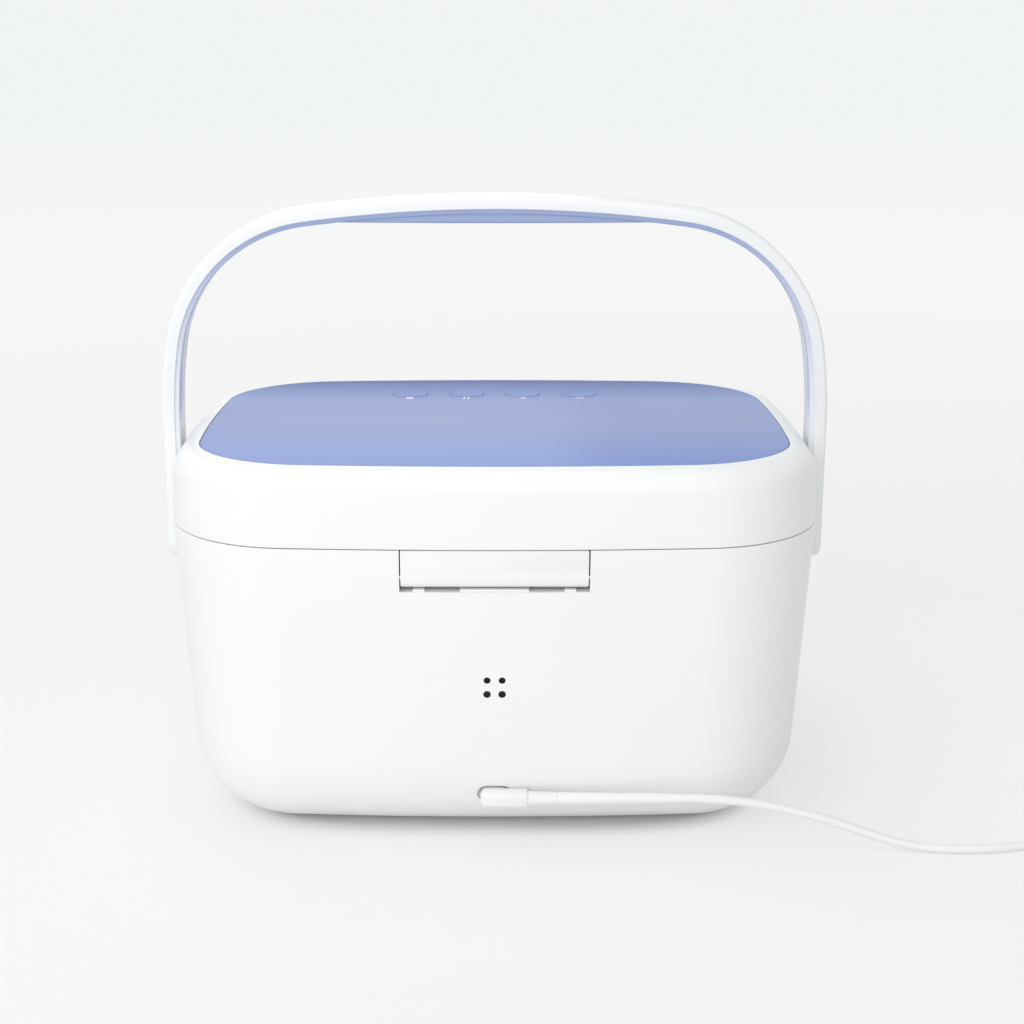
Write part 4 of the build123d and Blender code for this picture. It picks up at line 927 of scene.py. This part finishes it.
handle = {"halfX": 153.9, "top": 277.3, "half": 9.0, "shell": 6.0, "skin": 2.2, "side": 2.4, "liner": 2.2,
    "inset": 0.8, "rib": 1.6, "legArc": 245.0, "legTurn": 8.8, "shoulder": 74.0, "shoulderTurn": 82.35,
    "edge": 2.0, "gripHalf": 72.0, "gripBulge": 4.4, "gripDepth": 7.0, "gripEdge": 1.0}


def crownRadius(p):
    low, high = math.radians(p["legTurn"]), math.radians(p["shoulderTurn"])
    across = p["legArc"] * (1 - math.cos(low)) + p["shoulder"] * (math.cos(low) - math.cos(high))
    return (p["halfX"] - across) / math.cos(high)


def archStations(p, inward, half):
    # (x, z, half depth) along the right half of the arch, from the round lower end to the crown
    low, high = math.radians(p["legTurn"]), math.radians(p["shoulderTurn"])
    crown = crownRadius(p)
    rise = (p["legArc"] * math.sin(low) + p["shoulder"] * (math.sin(high) - math.sin(low))
        + crown * (1 - math.sin(high)))
    x, z = p["halfX"] - p["legArc"], p["top"] - rise
    stations = []
    for index in range(13):
        turn = math.pi / 2 * (1 - index / 12)
        stations.append((p["halfX"] - inward, pivot["z"] - half * math.sin(turn), half * math.cos(turn)))
    stations.append((p["halfX"] - inward, (pivot["z"] + z) / 2, half))
    for radius, start, stop, steps in ((p["legArc"], 0, low, 8), (p["shoulder"], low, high, 36),
            (crown, high, math.pi / 2, 12)):
        for index in range(steps + (1 if radius == crown else 0)):
            turn = start + (stop - start) * index / steps
            stations.append((x + (radius - inward) * math.cos(turn), z + (radius - inward) * math.sin(turn), half))
        following = {p["legArc"]: p["shoulder"], p["shoulder"]: crown}.get(radius)
        if following:
            x += (radius - following) * math.cos(stop)
            z += (radius - following) * math.sin(stop)
    return stations


def archSolid(p, layers):
    # layers of (inward, half depth), from the outer face to the inner one, closed by strips of quads
    points, faces = [], []
    for inward, half in layers:
        right = archStations(p, inward, half)
        line = right + [(-x, z, wide) for x, z, wide in reversed(right[:-1])]
        for x, z, wide in line:
            points += [(x, pivot["y"] + wide, z), (x, pivot["y"] - wide, z)]
    count = len(line)
    for layer in range(len(layers)):
        start = layer * count * 2
        for place in range(count - 1):
            here = start + place * 2
            if layer in (0, len(layers) - 1):
                faces.append((here, here + 1, here + 3, here + 2))
            if layer < len(layers) - 1:
                below = here + count * 2
                faces.append((here, here + 2, below + 2, below))
                faces.append((here + 1, below + 1, below + 3, here + 3))
    return points, faces


def weldedMesh(name, shape):
    return mend(plainMesh(name, *shape), 1e-6, 1e-7)


def makeHandle():
    p = handle
    half, edge = p["half"], p["edge"]
    layers = []
    for index in range(6):
        turn = math.pi / 2 * index / 5
        layers.append((edge * (1 - math.cos(turn)), half - edge + edge * math.sin(turn)))
    layers += [(p["shell"] - 0.3, half), (p["shell"], half - 0.3)]
    mesh = weldedMesh("handleShell", archSolid(p, layers))
    channel = weldedMesh("channel", archSolid(p, [(p["skin"], half - p["side"]), (p["shell"] + 1, half - p["side"])]))
    mesh = combined(mesh, channel, "DIFFERENCE")
    addPiece("handleShell", mesh, "white_case", "handle", 30, "handle_shell")
    rib = half - p["side"] - 0.2
    plate = half - p["inset"]
    inside = p["shell"] + p["liner"]
    layers = [(p["shell"] - p["rib"], rib), (p["shell"], rib), (p["shell"], plate), (inside - 0.5, plate),
        (inside - 0.15, plate - 0.15), (inside, plate - 0.5)]
    mesh = weldedMesh("handleLiner", archSolid(p, layers))
    bores = []
    for side in (1, -1):
        for radius, start in ((7.0, p["halfX"] - p["shell"]), (3.5, p["halfX"] - inside - 2)):
            bores.append(rodMesh(radius, onPivot(side, start), onPivot(side, 156), 48))
    mesh = combined(mesh, bores, "DIFFERENCE")
    addPiece("handleLiner", mesh, "lilac_trim", "handle", 30, "handle_liner")


def makeGrip():
    # a lens-shaped pad under the crown with soft edges
    p = handle
    seat = crownRadius(p) - p["shell"] - p["liner"]
    centre = p["top"] - p["shell"] - p["liner"] - seat
    steps = 48
    rings = []
    for depth, shrink in ((-1, p["gripEdge"]), (-0.97, 0.45), (-0.9, 0.1), (-0.8, 0), (0.8, 0), (0.9, 0.1),
            (0.97, 0.45), (1, p["gripEdge"])):
        reach = p["gripHalf"] - shrink * 2
        end = centre + math.sqrt(seat ** 2 - reach ** 2)
        lowest = p["top"] - p["shell"] - p["liner"] - p["gripBulge"] + shrink
        sag = end - lowest
        curve = (reach ** 2 + sag ** 2) / (2 * abs(sag))
        ring = []
        for index in range(steps + 1):
            x = reach * (1 - 2 * index / steps)
            ring.append((x, pivot["y"] + depth * p["gripDepth"], centre + math.sqrt(seat ** 2 - x ** 2)))
        for index in range(1, steps):
            x = -reach * (1 - 2 * index / steps)
            drop = curve - math.sqrt(curve ** 2 - x ** 2)
            ring.append((x, pivot["y"] + depth * p["gripDepth"], lowest + math.copysign(drop, sag)))
        rings.append(ring)
    addPiece("handleGrip", plainMesh("handleGrip", *loft(rings)), "lilac_trim", "handle", 30, "handle_grip")


plug = {"right": 6.3, "left": -14.3, "y": 113.4, "z": 25.1, "halfY": 3.55, "halfZ": 4.0, "corner": 2.8, "end": 3.0,
    "nose": (12.4, 7.4), "noseStart": 105.4}
sleeve = {"start": -14.3, "ribsEnd": -28.3, "end": -75.0, "first": 3.2, "second": 2.75, "last": 2.25, "ribs": 7,
    "ribStep": 2.1, "ribWidth": 1.3, "ribInset": 1.6, "ribShrink": 0.0195, "groove": 0.2}


def roundedSection(halfY, halfZ, corner, steps=8):
    ring = []
    for signY, signZ, first in ((1, 1, 0), (-1, 1, 90), (-1, -1, 180), (1, -1, 270)):
        for index in range(steps + 1):
            turn = math.radians(first + 90 * index / steps)
            ring.append((signY * (halfY - corner) + corner * math.cos(turn),
                    signZ * (halfZ - corner) + corner * math.sin(turn)))
    return ring


def makePlug():
    p = plug
    places = [(p["left"], 0.5), (p["left"] + 0.15, 0.15), (p["left"] + 0.5, 0.0), (p["right"] - p["end"], 0.0)]
    for index in range(1, 7):
        turn = math.pi / 2 * index / 6
        places.append((p["right"] - p["end"] * (1 - math.sin(turn)), p["end"] * (1 - math.cos(turn))))
    rings = []
    for x, shrink in places:
        section = roundedSection(p["halfY"] - shrink, p["halfZ"] - shrink, max(0.4, p["corner"] - shrink))
        rings.append([(x, p["y"] + y, p["z"] + z) for y, z in section])
    mesh = plainMesh("plugBody", *loft(rings))
    nose = slotMesh(*p["nose"], (0, p["z"]), p["noseStart"], p["y"])
    mesh = combined(mesh, [nose], "UNION")
    addPiece("plugBody", mesh, "cord_white", "base", 30, "plug_body")


def makeSleeve():
    # tapered strain relief; its ribs are one row of discs
    p, q = sleeve, plug
    neck = p["start"] - 0.5
    profile = [(p["start"] + 0.4, p["first"] - 0.3), (neck, p["first"]), (neck - 0.4, p["first"] - p["groove"]),
        (p["ribsEnd"] + 0.5, p["second"] - p["groove"]), (p["ribsEnd"], p["second"])]
    for part in (0.2, 0.45, 0.7, 1.0):
        profile.append((p["ribsEnd"] + (p["end"] - p["ribsEnd"]) * part,
                p["second"] + (p["last"] - p["second"]) * part))
    rings = [[(x, q["y"] + radius * a, q["z"] + radius * b) for a, b in circle(40)] for x, radius in profile]
    core = plainMesh("plugSleeve", *loft(rings))
    inputs = {"Count": p["ribs"], "Start": 0.0, "Step": -p["ribStep"] * mm, "Radius": (p["first"] - 0.02) * mm,
        "Length": p["ribWidth"] * mm, "Shrink": p["ribShrink"]}
    ribs = grown(rowTree("sleeveRibs", inputs, (0, math.pi / 2, 0)), inputs, "cord_white")
    mesh = merged(core, ribs, (p["start"] - p["ribInset"], q["y"], q["z"]))
    addPiece("plugSleeve", mesh, "cord_white", "base", 30, "plug_sleeve")


makeBase()
print("base made")
makeTub()
makeRack()
print("tub and rack made")
makeLid()
makePanel()
makeMarks()
makeButtons()
makeTongue()
print("lid, panel, buttons and tongue made")
makeHandle()
makeGrip()
print("handle made")
makePlug()
makeSleeve()


def finishCord():
    powerCord.data.materials.append(finishes["cord_white"])
    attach(powerCord, "base")
    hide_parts("cord_lead", "cord_coil")


finishCord()
print("plug, sleeve and cord made")
